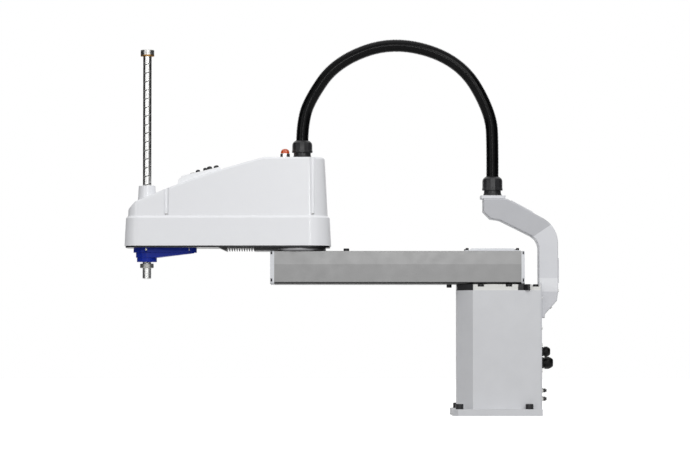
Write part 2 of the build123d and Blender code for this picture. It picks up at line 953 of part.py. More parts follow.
def make_beam_screws():
    """Screws of the end caps and of the hatch plate."""
    screws = []
    front = beam_front - front_cap_thickness + cap_notch_depth
    rear = beam_rear + rear_cap_thickness - cap_notch_depth
    for y, z in cap_corners():
        screws.append(rod_x(cap_screw_head, front - cap_screw_height, front, y, z))
        screws.append(rod_x(cap_screw_head, rear, rear + cap_screw_height, y, z))
    low = beam_top + hatch_flange
    for x, y in mirrored_pairs(((hatch_screw_front, hatch_screw_y), (hatch_screw_rear, hatch_screw_y))):
        screws.append(cylinder(hatch_screw_head, low, low + hatch_screw_height, x, y))
    return group(screws)


def make_j1_cover_plate():
    """Hatch plate over the first axis, pressed up in its middle."""
    flange = block(hatch_front, hatch_rear, hatch_half_width, beam_top, beam_top + hatch_flange)
    middle = (hatch_front + hatch_rear) / 2
    length = hatch_rear - hatch_front - 2 * hatch_rim
    width = 2 * (hatch_half_width - hatch_rim)
    low = Pos(middle, 0, beam_top + hatch_flange) * Rectangle(length, width)
    crown = Rectangle(length - 2 * hatch_bevel, width - 2 * hatch_bevel)
    high = Pos(middle, 0, beam_top + hatch_height) * crown
    return flange + loft([low.face(), high.face()])


def make_stop_bolts():
    """Bolts that end the turn of each arm: one under the beam, one on top of it."""
    lower = cylinder(j1_stop_bolt, beam_low - j1_stop_bolt_height, beam_low, -j1_stop_orbit)
    upper = cylinder(j2_stop_bolt, beam_top, beam_top + j2_stop_bolt_height, j2_x + j2_stop_orbit)
    return group([lower, upper])


# Second drive


def make_j2_hub():
    """Hub on the end of the first arm that the second arm turns on."""
    top = beam_top + elbow_hub_height
    body = cylinder(elbow_hub_radius, beam_top, top, j2_x)
    return body - cylinder(elbow_cup, beam_top + elbow_cup_floor, top, j2_x)


def elbow_bearing_low():
    return disc_top + turn_gap


def make_j2_bearing():
    low = elbow_bearing_low()
    inner = elbow_hub_radius + running_clearance
    return ring(elbow_bearing_outer, inner, low, low + elbow_bearing_height, j2_x)


def make_j2_reducer_housing():
    """Outer part of the second reducer, standing in the second arm."""
    top = disc_top + elbow_reducer_height
    body = cylinder(elbow_reducer_radius, disc_top, top, j2_x)
    body -= cylinder(elbow_bearing_outer + seat_clearance, disc_top, top - reducer_plate, j2_x)
    return body - cylinder(cable_hole, disc_top, top, j2_x)


def make_j2_wave_generator():
    low = beam_top + elbow_cup_floor + generator_gap
    top = disc_top + elbow_reducer_height
    return wave_generator(elbow_generator_major, elbow_generator_minor, low, low + elbow_generator_height,
                          low, top + motor_shaft_reach, j2_x)


def make_j2_motor():
    low = disc_top + elbow_reducer_height
    return motor(motor2_side, motor2_corner, low, low + motor2_length, low,
                 low + motor_shaft_reach + turn_gap, j2_x)


# Second arm


def arm2_plan(inset, height):
    """The second arm from above, drawn in by an inset."""
    rear_x = arm2_rear - arm2_rear_corner
    front_x = arm2_front + arm2_front_corner
    rear_y = arm2_rear_half_width - arm2_rear_corner
    front_y = arm2_front_half_width - arm2_front_corner
    circles = []
    for side in (-1, 1):
        circles.append((rear_x, side * rear_y, arm2_rear_corner - inset))
        circles.append((front_x, side * front_y, arm2_front_corner - inset))
    return hull_of_circles(circles, height)


def arm2_layer(low_inset, low, high_inset, high):
    """A length of the second arm between two heights, with its draft."""
    return loft([arm2_plan(low_inset, low).face(), arm2_plan(high_inset, high).face()], ruled=True)


def arm2_half_width(x, inset):
    """Half the width of the arm's plan at a place along it."""
    run = arm2_rear - arm2_rear_corner - arm2_front - arm2_front_corner
    share = (arm2_rear - arm2_rear_corner - x) / run
    return arm2_rear_half_width + share * (arm2_front_half_width - arm2_rear_half_width) - inset


def make_elbow_plate():
    """Black disc over the elbow and the plate with cooling slots beside it."""
    body = cylinder(elbow_disc_radius, disc_low, disc_top, j2_x)
    body += side_prism((
        (heat_plate_front, disc_top),
        (heat_plate_front + heat_plate_bevel, disc_low),
        (j2_x, disc_low),
        (j2_x, disc_top),
    ), heat_plate_half_width)
    for i in range(fin_count):
        x = first_fin_x + i * fin_pitch
        body -= block(x, x + fin_gap, heat_plate_half_width, disc_low, disc_low + fin_depth)
    return body - cylinder(elbow_hub_radius + hole_clearance, disc_low, disc_top, j2_x)


def make_arm2_underplate():
    """Dark plate under the whole second arm."""
    body = extrude(arm2_plan(underplate_inset, disc_top), underplate_thickness)
    body -= cylinder(elbow_reducer_radius + seat_clearance, disc_top, tray_low, j2_x)
    body -= cylinder(housing_bore + seat_clearance, disc_top, tray_low, j4_x)
    for x, y in housing_screws:
        body -= cylinder(housing_screw_shank + seat_clearance, disc_top, tray_low, x, y)
    return body


def make_arm2_tray():
    """Cast tray of the second arm, which the drives stand in."""
    outer = arm2_layer(0, tray_low, tray_draft, tray_top)
    outer += arm2_layer(tray_draft, tray_top, cover_inset, cover_low)
    inner = arm2_layer(tray_wall, tray_floor_top, cover_inset + tray_wall, cover_low)
    body = outer - inner
    body -= cylinder(elbow_reducer_radius + seat_clearance, tray_low, tray_floor_top, j2_x)
    return body - cylinder(housing_bore + seat_clearance, tray_low, tray_floor_top, j4_x)


def roof_outline(drop):
    """Side view of the cover: flat roof, long falling curve and round nose."""
    top = cover_top - drop
    mid = top - roof_mid_drop
    low = top - roof_low_drop
    curve = ThreePointArc((roof_flat_front, top), (roof_mid_x, mid), (roof_low_x, low))
    nose = Line((roof_low_x, low), (nose_x, top - nose_drop))
    rest = Polyline((nose_x, top - nose_drop), (nose_x, cover_low), (arm2_rear, cover_low), (arm2_rear, top),
                    (roof_flat_front, top))
    return make_face(Curve() + [curve, nose, rest])


def roof_solid(drop):
    return extrude(Plane.XZ * roof_outline(drop), arm2_rear_half_width, both=True)


def cover_form(inset, edge):
    """Solid form of the cover, with its roof edges rounded."""
    walls = arm2_layer(cover_inset + inset, cover_low, cover_inset + cover_draft + inset, cover_top)
    form = walls & roof_solid(inset)
    above_rim = [e for e in form.edges() if e.center().Z > cover_low + cover_rim_band]
    crown = [e for e in above_rim if abs(e.tangent_at(0.5).Z) < steepest_crown_slope]
    return fillet(crown, edge)


def flute(x, side, growth):
    """Upright channel for a cover screw, leaning with the wall."""
    low_y = arm2_half_width(x, cover_inset)
    lean = degrees(atan2(cover_draft, cover_height))
    height = cover_height + 2 * flute_high_radius
    axis_y = low_y + flute_low_radius - flute_depth
    shape = Cone(flute_low_radius + growth, flute_high_radius + growth, height,
                 align=(Align.CENTER, Align.CENTER, Align.MIN))
    return Pos(x, side * axis_y, cover_low + flute_floor - growth) * Rot(side * lean, 0, 0) * shape


def make_arm2_cover():
    """Moulded cover: drafted walls, sloping roof, screw channels and the boss round the shaft."""
    outer = cover_form(0, cover_edge_radius)
    hollow = cover_form(cover_wall, cover_edge_radius - cover_wall)
    for x in flute_x:
        for side in (-1, 1):
            hollow -= flute(x, side, flute_wall)
    boss = Pos(j4_x, 0, boss_top - boss_height) * Cone(
        boss_low_radius, boss_top_radius, boss_height, align=(Align.CENTER, Align.CENTER, Align.MIN))
    boss = fillet(boss.edges().sort_by(Axis.Z)[-1], boss_rim_radius)
    body = (outer + boss) - hollow
    for x in flute_x:
        for side in (-1, 1):
            body -= flute(x, side, 0)
    body -= cylinder(duct_bore, cover_top - 2 * cover_wall, cover_top, front_gland_x)
    return body - cylinder(boss_bore, cover_low, boss_top, j4_x)


def make_arm2_screws():
    """Screws of the cover and of the blue housing."""
    screws = []
    floor = cover_low + flute_floor
    for x in flute_x:
        y = arm2_half_width(x, cover_inset) - flute_depth + cover_screw_head + turn_gap
        for side in (-1, 1):
            screws.append(cylinder(cover_screw_head, floor, floor + cover_screw_height, x, side * y))
    for x, y in housing_screws:
        top = disc_top - housing_screw_ledge
        head = cylinder(housing_screw_head, top - housing_screw_height, top, x, y)
        screws.append(head + cylinder(housing_screw_shank, top, tray_low, x, y))
    return group(screws)


# Panel, lamp and blue housing


def panel_frame():
    """Plane of the user's panel, with its X running up the slope."""
    tilt = radians(user_panel_slope)
    return Plane(origin=(user_panel_front, 0, cover_top - user_panel_drop), x_dir=(cos(tilt), 0, sin(tilt)),
                 z_dir=(-sin(tilt), 0, cos(tilt)))


def up_panel(x):
    """Distance up the panel of a place given by how far it lies behind the front edge."""
    return x / cos(radians(user_panel_slope))


def panel_peg(x, y, radius, low, high):
    """Round solid that stands on the panel."""
    shape = Cylinder(radius, high - low, align=(Align.CENTER, Align.CENTER, Align.MIN))
    return panel_frame() * Pos(up_panel(x), y, low) * shape


def make_user_panel():
    """Raised wedge on the roof for the user's connectors."""
    front_z = cover_top - user_panel_drop
    rear_z = front_z + user_panel_length * tan(radians(user_panel_slope))
    toe_x = user_panel_front - user_panel_toe_reach
    rear_x = user_panel_front + user_panel_length
    deep = cover_top - roof_low_drop
    wedge = side_prism((
        (toe_x, deep),
        (toe_x, front_z - user_panel_lip),
        (user_panel_front, front_z),
        (rear_x, rear_z),
        (rear_x, deep),
    ), user_panel_half_width)
    wedge = fillet(wedge.edges().filter_by(Axis.Y).sort_by(Axis.Z)[-1], user_panel_edge)
    wedge -= roof_solid(0)
    well_floor = -button_depth - hole_clearance
    return wedge - panel_peg(button_x, 0, button_radius + running_clearance, well_floor, button_height)


def make_brake_release_button():
    return panel_peg(button_x, 0, button_radius, button_travel - button_depth, button_height)


def make_panel_air_fittings():
    return group(panel_peg(x, y, radius, 0, height) for x, y, radius, height in panel_fittings)


def make_user_connectors():
    """Sockets of the serial and network lines."""
    sockets = []
    for socket in (serial_socket, network_socket):
        shape = Box(socket["width"], socket["length"], socket["height"],
                    align=(Align.CENTER, Align.CENTER, Align.MIN))
        shape = fillet(shape.edges().filter_by(Axis.Z), socket_corner)
        sockets.append(panel_frame() * Pos(up_panel(socket["x"]), 0, 0) * shape)
    return group(sockets)


def make_lamp_bezel():
    """Chrome ring under the lamp."""
    top = cover_top + lamp_bezel_height
    body = cylinder(lamp_bezel_radius, cover_top, top, lamp_x)
    return fillet(body.edges().sort_by(Axis.Z)[-1], lamp_rim)


def make_lamp_dome():
    """Domed lens of the lamp."""
    low = cover_top + lamp_bezel_height
    body = cylinder(lamp_dome_radius, low, low + lamp_dome_height, lamp_x)
    return fillet(body.edges().sort_by(Axis.Z)[-1], lamp_dome_edge)


def housing_plan(head, tail, height):
    return hull_of_circles(((j4_x, 0, head), (housing_tail_x, 0, tail)), height)


def make_nut_housing():
    """Blue housing that carries the lower bearing of the spline nut."""
    flange_low = disc_top - housing_flange_height
    body_low = flange_low - housing_body_height
    flange = housing_plan(housing_flange_radius, housing_tail_radius, flange_low)
    body = extrude(flange, housing_flange_height)
    tier = extrude(housing_plan(housing_body_radius, housing_body_tail, body_low), housing_body_height)
    start = j4_x + housing_body_radius
    end = housing_tail_x + housing_body_tail
    tier -= side_prism((
        (start, body_low),
        (end, body_low + housing_body_slope_rise),
        (end, body_low),
    ), housing_body_radius)
    body += tier
    body += cylinder(housing_boss_radius, housing_low, body_low, j4_x)
    body -= cylinder(housing_bore + seat_clearance, housing_low + housing_boss_height, disc_top, j4_x)
    body -= cylinder(housing_seal, housing_low, disc_top, j4_x)
    ledge = disc_top - housing_screw_ledge
    for x, y in housing_screws:
        body -= cylinder(housing_screw_head + turn_gap, flange_low, ledge, x, y)
        body -= cylinder(housing_screw_shank + seat_clearance, ledge, disc_top, x, y)
    return body


# Ball screw spline and wrist drives


def make_spline_shaft():
    """Hollow ground shaft with its spline grooves, and a relief that ends its plain lower end."""
    top = shaft_top()
    body = ring(shaft_radius, shaft_bore, shaft_low, top, j4_x)
    relief_top = collar_low() + shaft_relief_width
    body -= ring(2 * shaft_radius, shaft_radius - shaft_relief, collar_low(), relief_top, j4_x)
    groove_low = housing_low - collar_gap
    groove_orbit = shaft_radius + spline_groove - spline_groove_depth
    for i in range(spline_groove_count):
        turn = 360.0 / spline_groove_count * i
        groove = cylinder(spline_groove, groove_low, cushion_low(), groove_orbit)
        body -= Pos(j4_x, 0, 0) * Rot(0, 0, turn) * groove
    return body


def cushion_low():
    return boss_top + z_stroke + stop_clearance


def shaft_top():
    return cushion_low() + cushion_height + cap_height


def make_cushion_ring():
    low = cushion_low()
    return ring(collar_radius, shaft_radius + seat_clearance, low, low + cushion_height, j4_x)


def make_top_stop_cap():
    low = cushion_low() + cushion_height
    body = ring(collar_radius, shaft_radius + seat_clearance, low, shaft_top(), j4_x)
    return chamfer(body.edges().group_by(Axis.Z)[-1].sort_by(SortBy.LENGTH)[-1], housing_edge)


def collar_low():
    return housing_low - collar_gap - collar_height


def make_lower_stop_collar():
    low = collar_low()
    body = ring(collar_radius, shaft_radius + seat_clearance, low, low + collar_height, j4_x)
    return chamfer([e.sort_by(SortBy.LENGTH)[-1] for e in body.edges().group_by(Axis.Z)[::2]], housing_edge)


def spline_nut_low():
    return housing_low + housing_boss_height + turn_gap


def spline_nut_top():
    return carrier_low - spline_nut_top_gap


def make_spline_nut():
    """Nut that turns the shaft and lets it slide."""
    return ring(nut_radius, shaft_radius + running_clearance, spline_nut_low(), spline_nut_top(), j4_x)


def pulley(radius, lip_radius, bore, low, x):
    """Belt pulley with a lip on each side."""
    high = low + pulley_height
    body = cylinder(radius, low, high, x)
    body += cylinder(lip_radius, low, low + pulley_lip, x)
    body += cylinder(lip_radius, high - pulley_lip, high, x)
    return body - cylinder(bore, low, high, x)


def u_pulley_low():
    return tray_floor_top + spline_pulley_lift


def z_pulley_low():
    return carrier_low + carrier_thickness + ball_pulley_lift


def make_spline_nut_pulley():
    bore = nut_radius + seat_clearance
    return pulley(spline_pulley_radius, spline_pulley_flange, bore, u_pulley_low(), j4_x)


def make_ball_nut():
    """Nut that raises and lowers the shaft."""
    low = carrier_low
    return ring(nut_radius, shaft_radius + running_clearance, low, low + ball_nut_height, j4_x)


def make_ball_nut_pulley():
    return pulley(ball_pulley_radius, ball_pulley_flange, nut_radius + seat_clearance, z_pulley_low(), j4_x)


def make_nut_bearings():
    """Bearings of the spline nut, below and in the tray, and of the ball nut above them."""
    inner = nut_radius + running_clearance
    lows = (spline_nut_low() + turn_gap, tray_low, carrier_low)
    heights = (nut_bearing_height, tray_floor, carrier_thickness)
    return group(ring(housing_bore, inner, low, low + height, j4_x) for low, height in zip(lows, heights))


def make_ball_nut_carrier():
    """Bridge on four posts that holds the ball nut and its brake."""
    low = carrier_low
    top = low + carrier_thickness
    body = cylinder(carrier_radius, low, top, j4_x)
    brake_top = brake_plate_low + brake_plate
    brake = cylinder(carrier_radius, brake_plate_low, brake_top, j4_x)
    sides = block(j4_x - carrier_post_x - carrier_post, j4_x + carrier_post_x + carrier_post,
                  carrier_post_y + carrier_post, low, brake_top)
    body = (body + brake) & sides
    for x in (j4_x - carrier_post_x, j4_x + carrier_post_x):
        for y in (-carrier_post_y, carrier_post_y):
            body += cylinder(carrier_post, tray_floor_top, brake_top, x, y)
    body -= cylinder(housing_bore + seat_clearance, low, top, j4_x)
    return body - cylinder(nut_radius + turn_gap, brake_plate_low, brake_top, j4_x)


def make_z_brake():
    """Brake that holds the ball nut when the power is off."""
    low = brake_plate_low + brake_plate
    return ring(brake_radius, nut_radius + turn_gap, low, low + brake_height, j4_x)


def belt(x_a, radius_a, x_b, radius_b, low):
    """Closed belt round two pulleys."""
    middle = low + pulley_height / 2 - belt_width / 2
    grown_a = radius_a + belt_gap
    grown_b = radius_b + belt_gap
    outer = hull_of_circles(((x_a, 0, grown_a + belt_thickness), (x_b, 0, grown_b + belt_thickness)), middle)
    inner = hull_of_circles(((x_a, 0, grown_a), (x_b, 0, grown_b)), middle)
    return extrude(outer, belt_width) - extrude(inner, belt_width)


def make_z_belt():
    return belt(j4_x, ball_pulley_radius, z_motor_x, z_motor_pulley, z_pulley_low())


def make_u_belt():
    return belt(j4_x, spline_pulley_radius, u_motor_x, u_motor_pulley, u_pulley_low())


def z_motor_low():
    return z_pulley_low() + pulley_height + mount_plate + turn_gap


def u_motor_low():
    return u_pulley_low() + pulley_height + mount_plate + turn_gap


def motor_mount(x, motor_low):
    """Bridge over the belt that a wrist motor stands on."""
    body = block(x - mount_half_length, x + mount_half_length, mount_half_width, tray_floor_top, motor_low)
    body -= block(x - mount_half_length, x + mount_half_length, mount_half_width - mount_wall, tray_floor_top,
                  motor_low - mount_plate)
    return body - cylinder(mount_hole, motor_low - mount_plate, motor_low, x)


def make_motor_mounts():
    return group([motor_mount(z_motor_x, z_motor_low()), motor_mount(u_motor_x, u_motor_low())])


def make_j3_motor():
    low = z_motor_low()
    return motor(wrist_motor_side, wrist_motor_corner, low, low + z_motor_length, low,
                 low + motor_shaft_reach + turn_gap, z_motor_x)


def make_j4_motor():
    low = u_motor_low()
    return motor(wrist_motor_side, wrist_motor_corner, low, low + u_motor_length, low,
                 low + motor_shaft_reach + turn_gap, u_motor_x)


def motor_pulley(radius, low, motor_low, x):
    """Small pulley in one piece with the end of the motor's shaft."""
    body = cylinder(radius, low, low + pulley_height, x)
    body += cylinder(radius + pulley_lip, low, low + pulley_lip, x)
    body += cylinder(radius + pulley_lip, low + pulley_height - pulley_lip, low + pulley_height, x)
    return body + cylinder(motor_shaft, low, motor_low + motor_shaft_reach, x)


def make_j3_motor_pulley():
    return motor_pulley(z_motor_pulley, z_pulley_low(), z_motor_low(), z_motor_x)


def make_j4_motor_pulley():
    return motor_pulley(u_motor_pulley, u_pulley_low(), u_motor_low(), u_motor_x)


parts = {
    "base_casting": make_base_casting,
    "base_top_flange": make_base_top_flange,
    "base_front_cap": make_base_front_cap,
    "j1_stop_blocks": make_j1_stop_blocks,
    "top_flange_bolts": make_top_flange_bolts,
    "base_rear_panel": make_base_rear_panel,
    "panel_screws": make_panel_screws,
    "rear_cable_glands": make_rear_cable_glands,
    "rear_air_fittings": make_rear_air_fittings,
    "duct_bracket": make_duct_bracket,
    "bracket_cover_plates": make_bracket_cover_plates,
    "rear_duct_gland": make_rear_duct_gland,
    "j1_motor": make_j1_motor,
    "j1_reducer_housing": make_j1_reducer_housing,
    "j1_bearing": make_j1_bearing,
    "j1_wave_generator": make_j1_wave_generator,
    "j1_output_flange": make_j1_output_flange,
    "arm1_beam": make_arm1_beam,
    "front_end_cap": make_front_end_cap,
    "rear_end_cap": make_rear_end_cap,
    "beam_screws": make_beam_screws,
    "j1_cover_plate": make_j1_cover_plate,
    "stop_bolts": make_stop_bolts,
    "j2_hub": make_j2_hub,
    "cable_duct": make_cable_duct,
    "j2_bearing": make_j2_bearing,
    "j2_reducer_housing": make_j2_reducer_housing,
    "j2_wave_generator": make_j2_wave_generator,
    "j2_motor": make_j2_motor,
    "elbow_plate": make_elbow_plate,
    "arm2_underplate": make_arm2_underplate,
    "arm2_tray": make_arm2_tray,
    "arm2_cover": make_arm2_cover,
    "arm2_screws": make_arm2_screws,
    "user_panel": make_user_panel,
    "brake_release_button": make_brake_release_button,
    "panel_air_fittings": make_panel_air_fittings,
    "user_connectors": make_user_connectors,
    "front_duct_gland": make_front_duct_gland,
    "lamp_bezel": make_lamp_bezel,
    "lamp_dome": make_lamp_dome,
    "nut_housing": make_nut_housing,
    "nut_bearings": make_nut_bearings,
    "spline_shaft": make_spline_shaft,
    "top_stop_cap": make_top_stop_cap,
    "cushion_ring": make_cushion_ring,
    "lower_stop_collar": make_lower_stop_collar,
    "spline_nut": make_spline_nut,
    "spline_nut_pulley": make_spline_nut_pulley,
    "ball_nut": make_ball_nut,
    "ball_nut_pulley": make_ball_nut_pulley,
    "ball_nut_carrier": make_ball_nut_carrier,
    "z_brake": make_z_brake,
    "z_belt": make_z_belt,
    "u_belt": make_u_belt,
    "motor_mounts": make_motor_mounts,
    "j3_motor": make_j3_motor,
    "j4_motor": make_j4_motor,
    "j3_motor_pulley": make_j3_motor_pulley,
    "j4_motor_pulley": make_j4_motor_pulley,
}

os.makedirs("parts", exist_ok=True)
for name, make in parts.items():
    export_step(make(), f"parts/{name}.step")
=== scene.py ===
"""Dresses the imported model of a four-axis assembly robot.

It gives every part its finish, and adds the corrugated duct, the grooved shaft, screws, glands and
fittings, and the stage that the robot stands on.
"""
import json
from math import cos, pi, radians, sin, tau
from typing import NamedTuple

import bmesh
import bpy
import numpy as np
from bpy.props import FloatProperty, FloatVectorProperty, IntProperty, PointerProperty
from bpy.types import Operator, Panel, PropertyGroup
from mathutils import Matrix, Vector


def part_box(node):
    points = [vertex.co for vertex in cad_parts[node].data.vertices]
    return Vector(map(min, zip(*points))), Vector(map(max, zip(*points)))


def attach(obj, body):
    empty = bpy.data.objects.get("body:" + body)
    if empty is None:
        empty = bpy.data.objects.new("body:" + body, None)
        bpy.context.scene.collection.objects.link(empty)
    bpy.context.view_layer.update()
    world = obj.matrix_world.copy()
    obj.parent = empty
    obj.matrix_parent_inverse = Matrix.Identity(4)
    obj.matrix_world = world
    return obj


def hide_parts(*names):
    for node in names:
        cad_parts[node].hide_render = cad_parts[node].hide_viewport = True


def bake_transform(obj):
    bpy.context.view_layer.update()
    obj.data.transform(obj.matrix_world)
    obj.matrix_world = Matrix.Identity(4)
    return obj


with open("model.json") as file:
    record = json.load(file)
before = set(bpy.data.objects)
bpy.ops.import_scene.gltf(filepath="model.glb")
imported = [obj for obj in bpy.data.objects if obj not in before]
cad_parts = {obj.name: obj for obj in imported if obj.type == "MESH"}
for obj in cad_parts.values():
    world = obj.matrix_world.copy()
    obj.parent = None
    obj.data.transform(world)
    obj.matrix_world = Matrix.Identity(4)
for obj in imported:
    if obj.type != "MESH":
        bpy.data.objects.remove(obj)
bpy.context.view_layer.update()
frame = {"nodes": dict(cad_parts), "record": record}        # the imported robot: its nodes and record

bl_info = {
    "name": "Assembly robot dress",
    "version": (1, 0, 0),
    "blender": (4, 5, 0),
    "location": "3D View > Sidebar > Robot",
    "description": "Finishes, duct, shaft, screws and fittings of a four-axis assembly robot",
    "category": "Object",
}

MM = 0.001
UP = Vector((0, 0, 1))
SEAM = 1e-6  # vertices nearer than this are one, in metres


def tone(red, green, blue):
    """Linear colour of a tone as it shows on a display, from 0 to 255."""
    shares = (red / 255, green / 255, blue / 255)
    return tuple(s / 12.92 if s <= 0.04045 else ((s + 0.055) / 1.055) ** 2.4 for s in shares)


# Settings


def colour_setting(name, shade, description):
    return FloatVectorProperty(name=name, description=description, default=tone(*shade), subtype="COLOR",
                               min=0, max=1)


def length_setting(name, millimetres, description):
    return FloatProperty(name=name, description=description, default=millimetres * MM, unit="LENGTH",
                         min=0, precision=4)


def power_setting(name, watts, description):
    return FloatProperty(name=name, description=description, default=watts, unit="POWER", min=0)


class PaintSettings(PropertyGroup):
    """Colours of the robot's main surfaces."""

    cover: colour_setting("Cover", (233, 234, 237), "Moulded cover and tray of the second arm")
    panel: colour_setting("Sloping panel", (239, 240, 242), "Panel with the sockets on the second arm")
    flange: colour_setting("Column's top plate", (224, 224, 221), "Cast plate that closes the column")
    casting: colour_setting("Casting", (210, 211, 214), "Powder coat of the foot and column")
    sheet: colour_setting("Sheet", (207, 208, 212), "Powder coat of the rear panel")
    bracket: colour_setting("Bracket's top", (224, 225, 229), "Flange on the bracket that the duct ends in")
    beam: colour_setting("Beam", (142, 142, 142), "Anodised beam of the first arm")
    # Painted shade: the beam below its crease is darker, for its lower face that takes less light.
    beam_low: colour_setting("Beam, lower half", (135, 135, 135), "Beam below its crease")
    # Painted shadow: the rounded lower edge is painted dark, for its shade and its dark reflection.
    beam_edge_shade: colour_setting("Beam, lower edge", (44, 44, 45), "Rounded lower edge of the beam")
    hub: colour_setting("Turning hub", (228, 226, 221), "Bare cast face of the hub under the first arm")
    caps: colour_setting("Caps", (220, 222, 226), "End caps and hatch of the beam")
    black: colour_setting("Black parts", (30, 30, 32), "Plates and blocks with a black finish")
    elbow: colour_setting("Elbow disc", (132, 132, 134), "Metal of the elbow's disc")
    nylon: colour_setting("Nylon", (38, 38, 40), "Duct glands, panel fittings and button")
    gland: colour_setting("Rear glands", (12, 12, 13), "Cable glands behind the column")
    blue: colour_setting("Blue housing", (13, 43, 160), "Housing below the second arm")
    duct: colour_setting("Duct", (9, 9, 10), "Corrugated duct")
    lens: colour_setting("Lamp lens", (216, 88, 34), "Dome of the lamp")
    steel: colour_setting("Steel", (208, 208, 206), "Ground steel of the shaft")
    track: colour_setting("Ball track", (70, 70, 69), "Darker floor of the shaft's ball track")
    ring: colour_setting("Cushion ring", (150, 108, 40), "Bronze ring under the top stop")


class DuctSettings(PropertyGroup):
    """Sizes of the corrugated duct."""

    diameter: length_setting("Diameter", 29.5, "Across the ribs")
    groove_depth: length_setting("Groove depth", 1.1, "From the top of a rib to the floor of a groove")
    rib_pitch: length_setting("Rib pitch", 3.2, "From one rib to the next")
    sides: IntProperty(name="Sides", description="Corners of the duct's section", default=32, min=12, max=64)


class ShaftSettings(PropertyGroup):
    """Sizes of the ball track on the shaft."""

    lead: length_setting("Lead", 20.0, "Rise of the track in one turn")
    track_width: length_setting("Track width", 2.6, "Width of the track along the shaft")
    track_depth: length_setting("Track depth", 0.35, "Depth of the track")
    track_height: length_setting("Track crossing", 812.0, "Height where the track crosses the near side")
    wiper_width: length_setting("Wiped end", 3.0, "Length over which the track runs out")


class ElbowSettings(PropertyGroup):
    """Sizes of the heat plate beside the elbow."""

    fin_count: IntProperty(name="Fins", description="Number of cooling fins", default=11, min=2, max=30)
    fin_pitch: length_setting("Fin pitch", 5.7, "From one fin to the next")
    fin_width: length_setting("Fin thickness", 2.1, "Thickness of a fin at its root")
    fin_half_span: length_setting("Fin half length", 18.0, "Half the length of a fin across the arm")
    web: length_setting("Web", 2.1, "Plate that the fins hang from")
    edge: length_setting("Disc edge", 1.1, "Rounding of the disc's rims")


class ScrewSettings(PropertyGroup):
    """Proportions of the screw heads."""

    socket_share: FloatProperty(name="Socket", description="Width of the socket as a share of the head",
                                default=0.56, min=0.2, max=0.8, subtype="FACTOR")
    chamfer_share: FloatProperty(name="Chamfer", description="Chamfer of the head as a share of its radius",
                                 default=0.1, min=0, max=0.3, subtype="FACTOR")
    foot_radius: length_setting("Foot screw radius", 9.0, "Radius of the heads of the screws in the foot")
    foot_height: length_setting("Foot screw height", 12.0, "Height of the heads of the screws in the foot")
    foot_top: length_setting("Foot thickness", 15.0, "Height of the foot's upper face at its screws")


class StageSettings(PropertyGroup):
    """Camera, lamps and floor."""

    camera_place: FloatVectorProperty(name="Camera", description="Place of the camera",
                                      default=(-0.3415, -6.853, 0.162), subtype="TRANSLATION", unit="LENGTH")
    camera_pitch: FloatProperty(name="Pitch", description="How far the camera looks up",
                                default=radians(2.22), subtype="ANGLE")
    lens: FloatProperty(name="Lens", description="Focal length in millimetres", default=154.5, min=1)
    key_power: power_setting("Key lamp", 34, "Power of the large lamp at the right")
    front_power: power_setting("Front lamp", 25, "Power of the small lamp by the camera")
    fill_power: power_setting("Fill lamp", 7, "Power of the weak lamp at the left")
    top_power: power_setting("Top lamp", 16, "Power of the lamp above")
    ambient: FloatProperty(name="Ambient", description="Light that comes from all round", default=0.57,
                           min=0)
    floor_glow: FloatProperty(name="Floor glow", description="Brightness that the camera adds to the floor",
                              default=0.85, min=0)


def settings(name):
    return getattr(bpy.context.scene, "robot_" + name)


# Meshes


class Ring(NamedTuple):
    """One level of a turned form: its height, its radius, and the half width of a hexagon that trims it."""

    height: float
    radius: float
    flats: float = 0.0


def ring_corners(form, ring, place, sides):
    """Adds the vertices of a ring to a mesh."""
    corners = []
    for i in range(sides):
        angle = tau * i / sides
        radius = ring.radius
        if ring.flats:
            radius = min(radius, ring.flats / cos(angle % (pi / 3) - pi / 6))
        corner = Vector((radius * cos(angle), radius * sin(angle), ring.height))
        corners.append(form.verts.new(place @ corner))
    return corners


def bridge(form, low, high, material=0, strip=None):
    """Joins two rings; where a strip is given, only so many faces each side of their start get the
    material."""
    count = len(low)
    for i in range(count):
        j = (i + 1) % count
        face = form.faces.new((low[i], low[j], high[j], high[i]))
        if strip is None or i < strip or i >= count - strip:
            face.material_index = material


def close_ends(form, first, last, material):
    for corners in (first[::-1], last):
        form.faces.new(corners).material_index = material


def turned(form, rings, place=Matrix(), sides=36, material=0, bored=False):
    """Adds a closed turned form to a mesh: rings from its foot up, and back down in a bore or socket.

    A bored form has no end faces; its last ring joins its first.
    """
    loops = [ring_corners(form, ring, place, sides) for ring in rings]
    if bored:
        loops.append(loops[0])
    else:
        close_ends(form, loops[0], loops[-1], material)
    for low, high in zip(loops, loops[1:]):
        bridge(form, low, high, material)


def side_prism(form, outline, near_side, far_side, material=0):
    """Adds a closed prism along Y, from its outline in X and Z."""
    near = [form.verts.new((x, near_side, z)) for x, z in outline]
    far = [form.verts.new((x, far_side, z)) for x, z in outline]
    bridge(form, near, far, material)
    close_ends(form, near, far, material)


def layered(form, place, radius, length, layers):
    """Adds turned forms one in another, each from its material and its rows.

    A row holds shares: of the length, of the radius and, where a hexagon trims it, of the hexagon in it.
    """
    hexagon = radius * cos(pi / 6)
    for material, rows in layers:
        rings = [Ring(up * length, out * radius, *(trim * hexagon for trim in trims))
                 for up, out, *trims in rows]
        turned(form, rings, place, material=material)


def facing(place, axis):
    """Matrix that stands a form made along Z at a place, facing along an axis."""
    turn = UP.rotation_difference(Vector(axis))
    return Matrix.Translation(place) @ turn.to_matrix().to_4x4()


def new_piece(name, mesh, materials=()):
    """Object of a mesh at the origin, with its materials."""
    for material in materials:
        mesh.materials.append(bpy.data.materials[material])
    made = bpy.data.objects.new(name, mesh)
    bpy.context.scene.collection.objects.link(made)
    return made


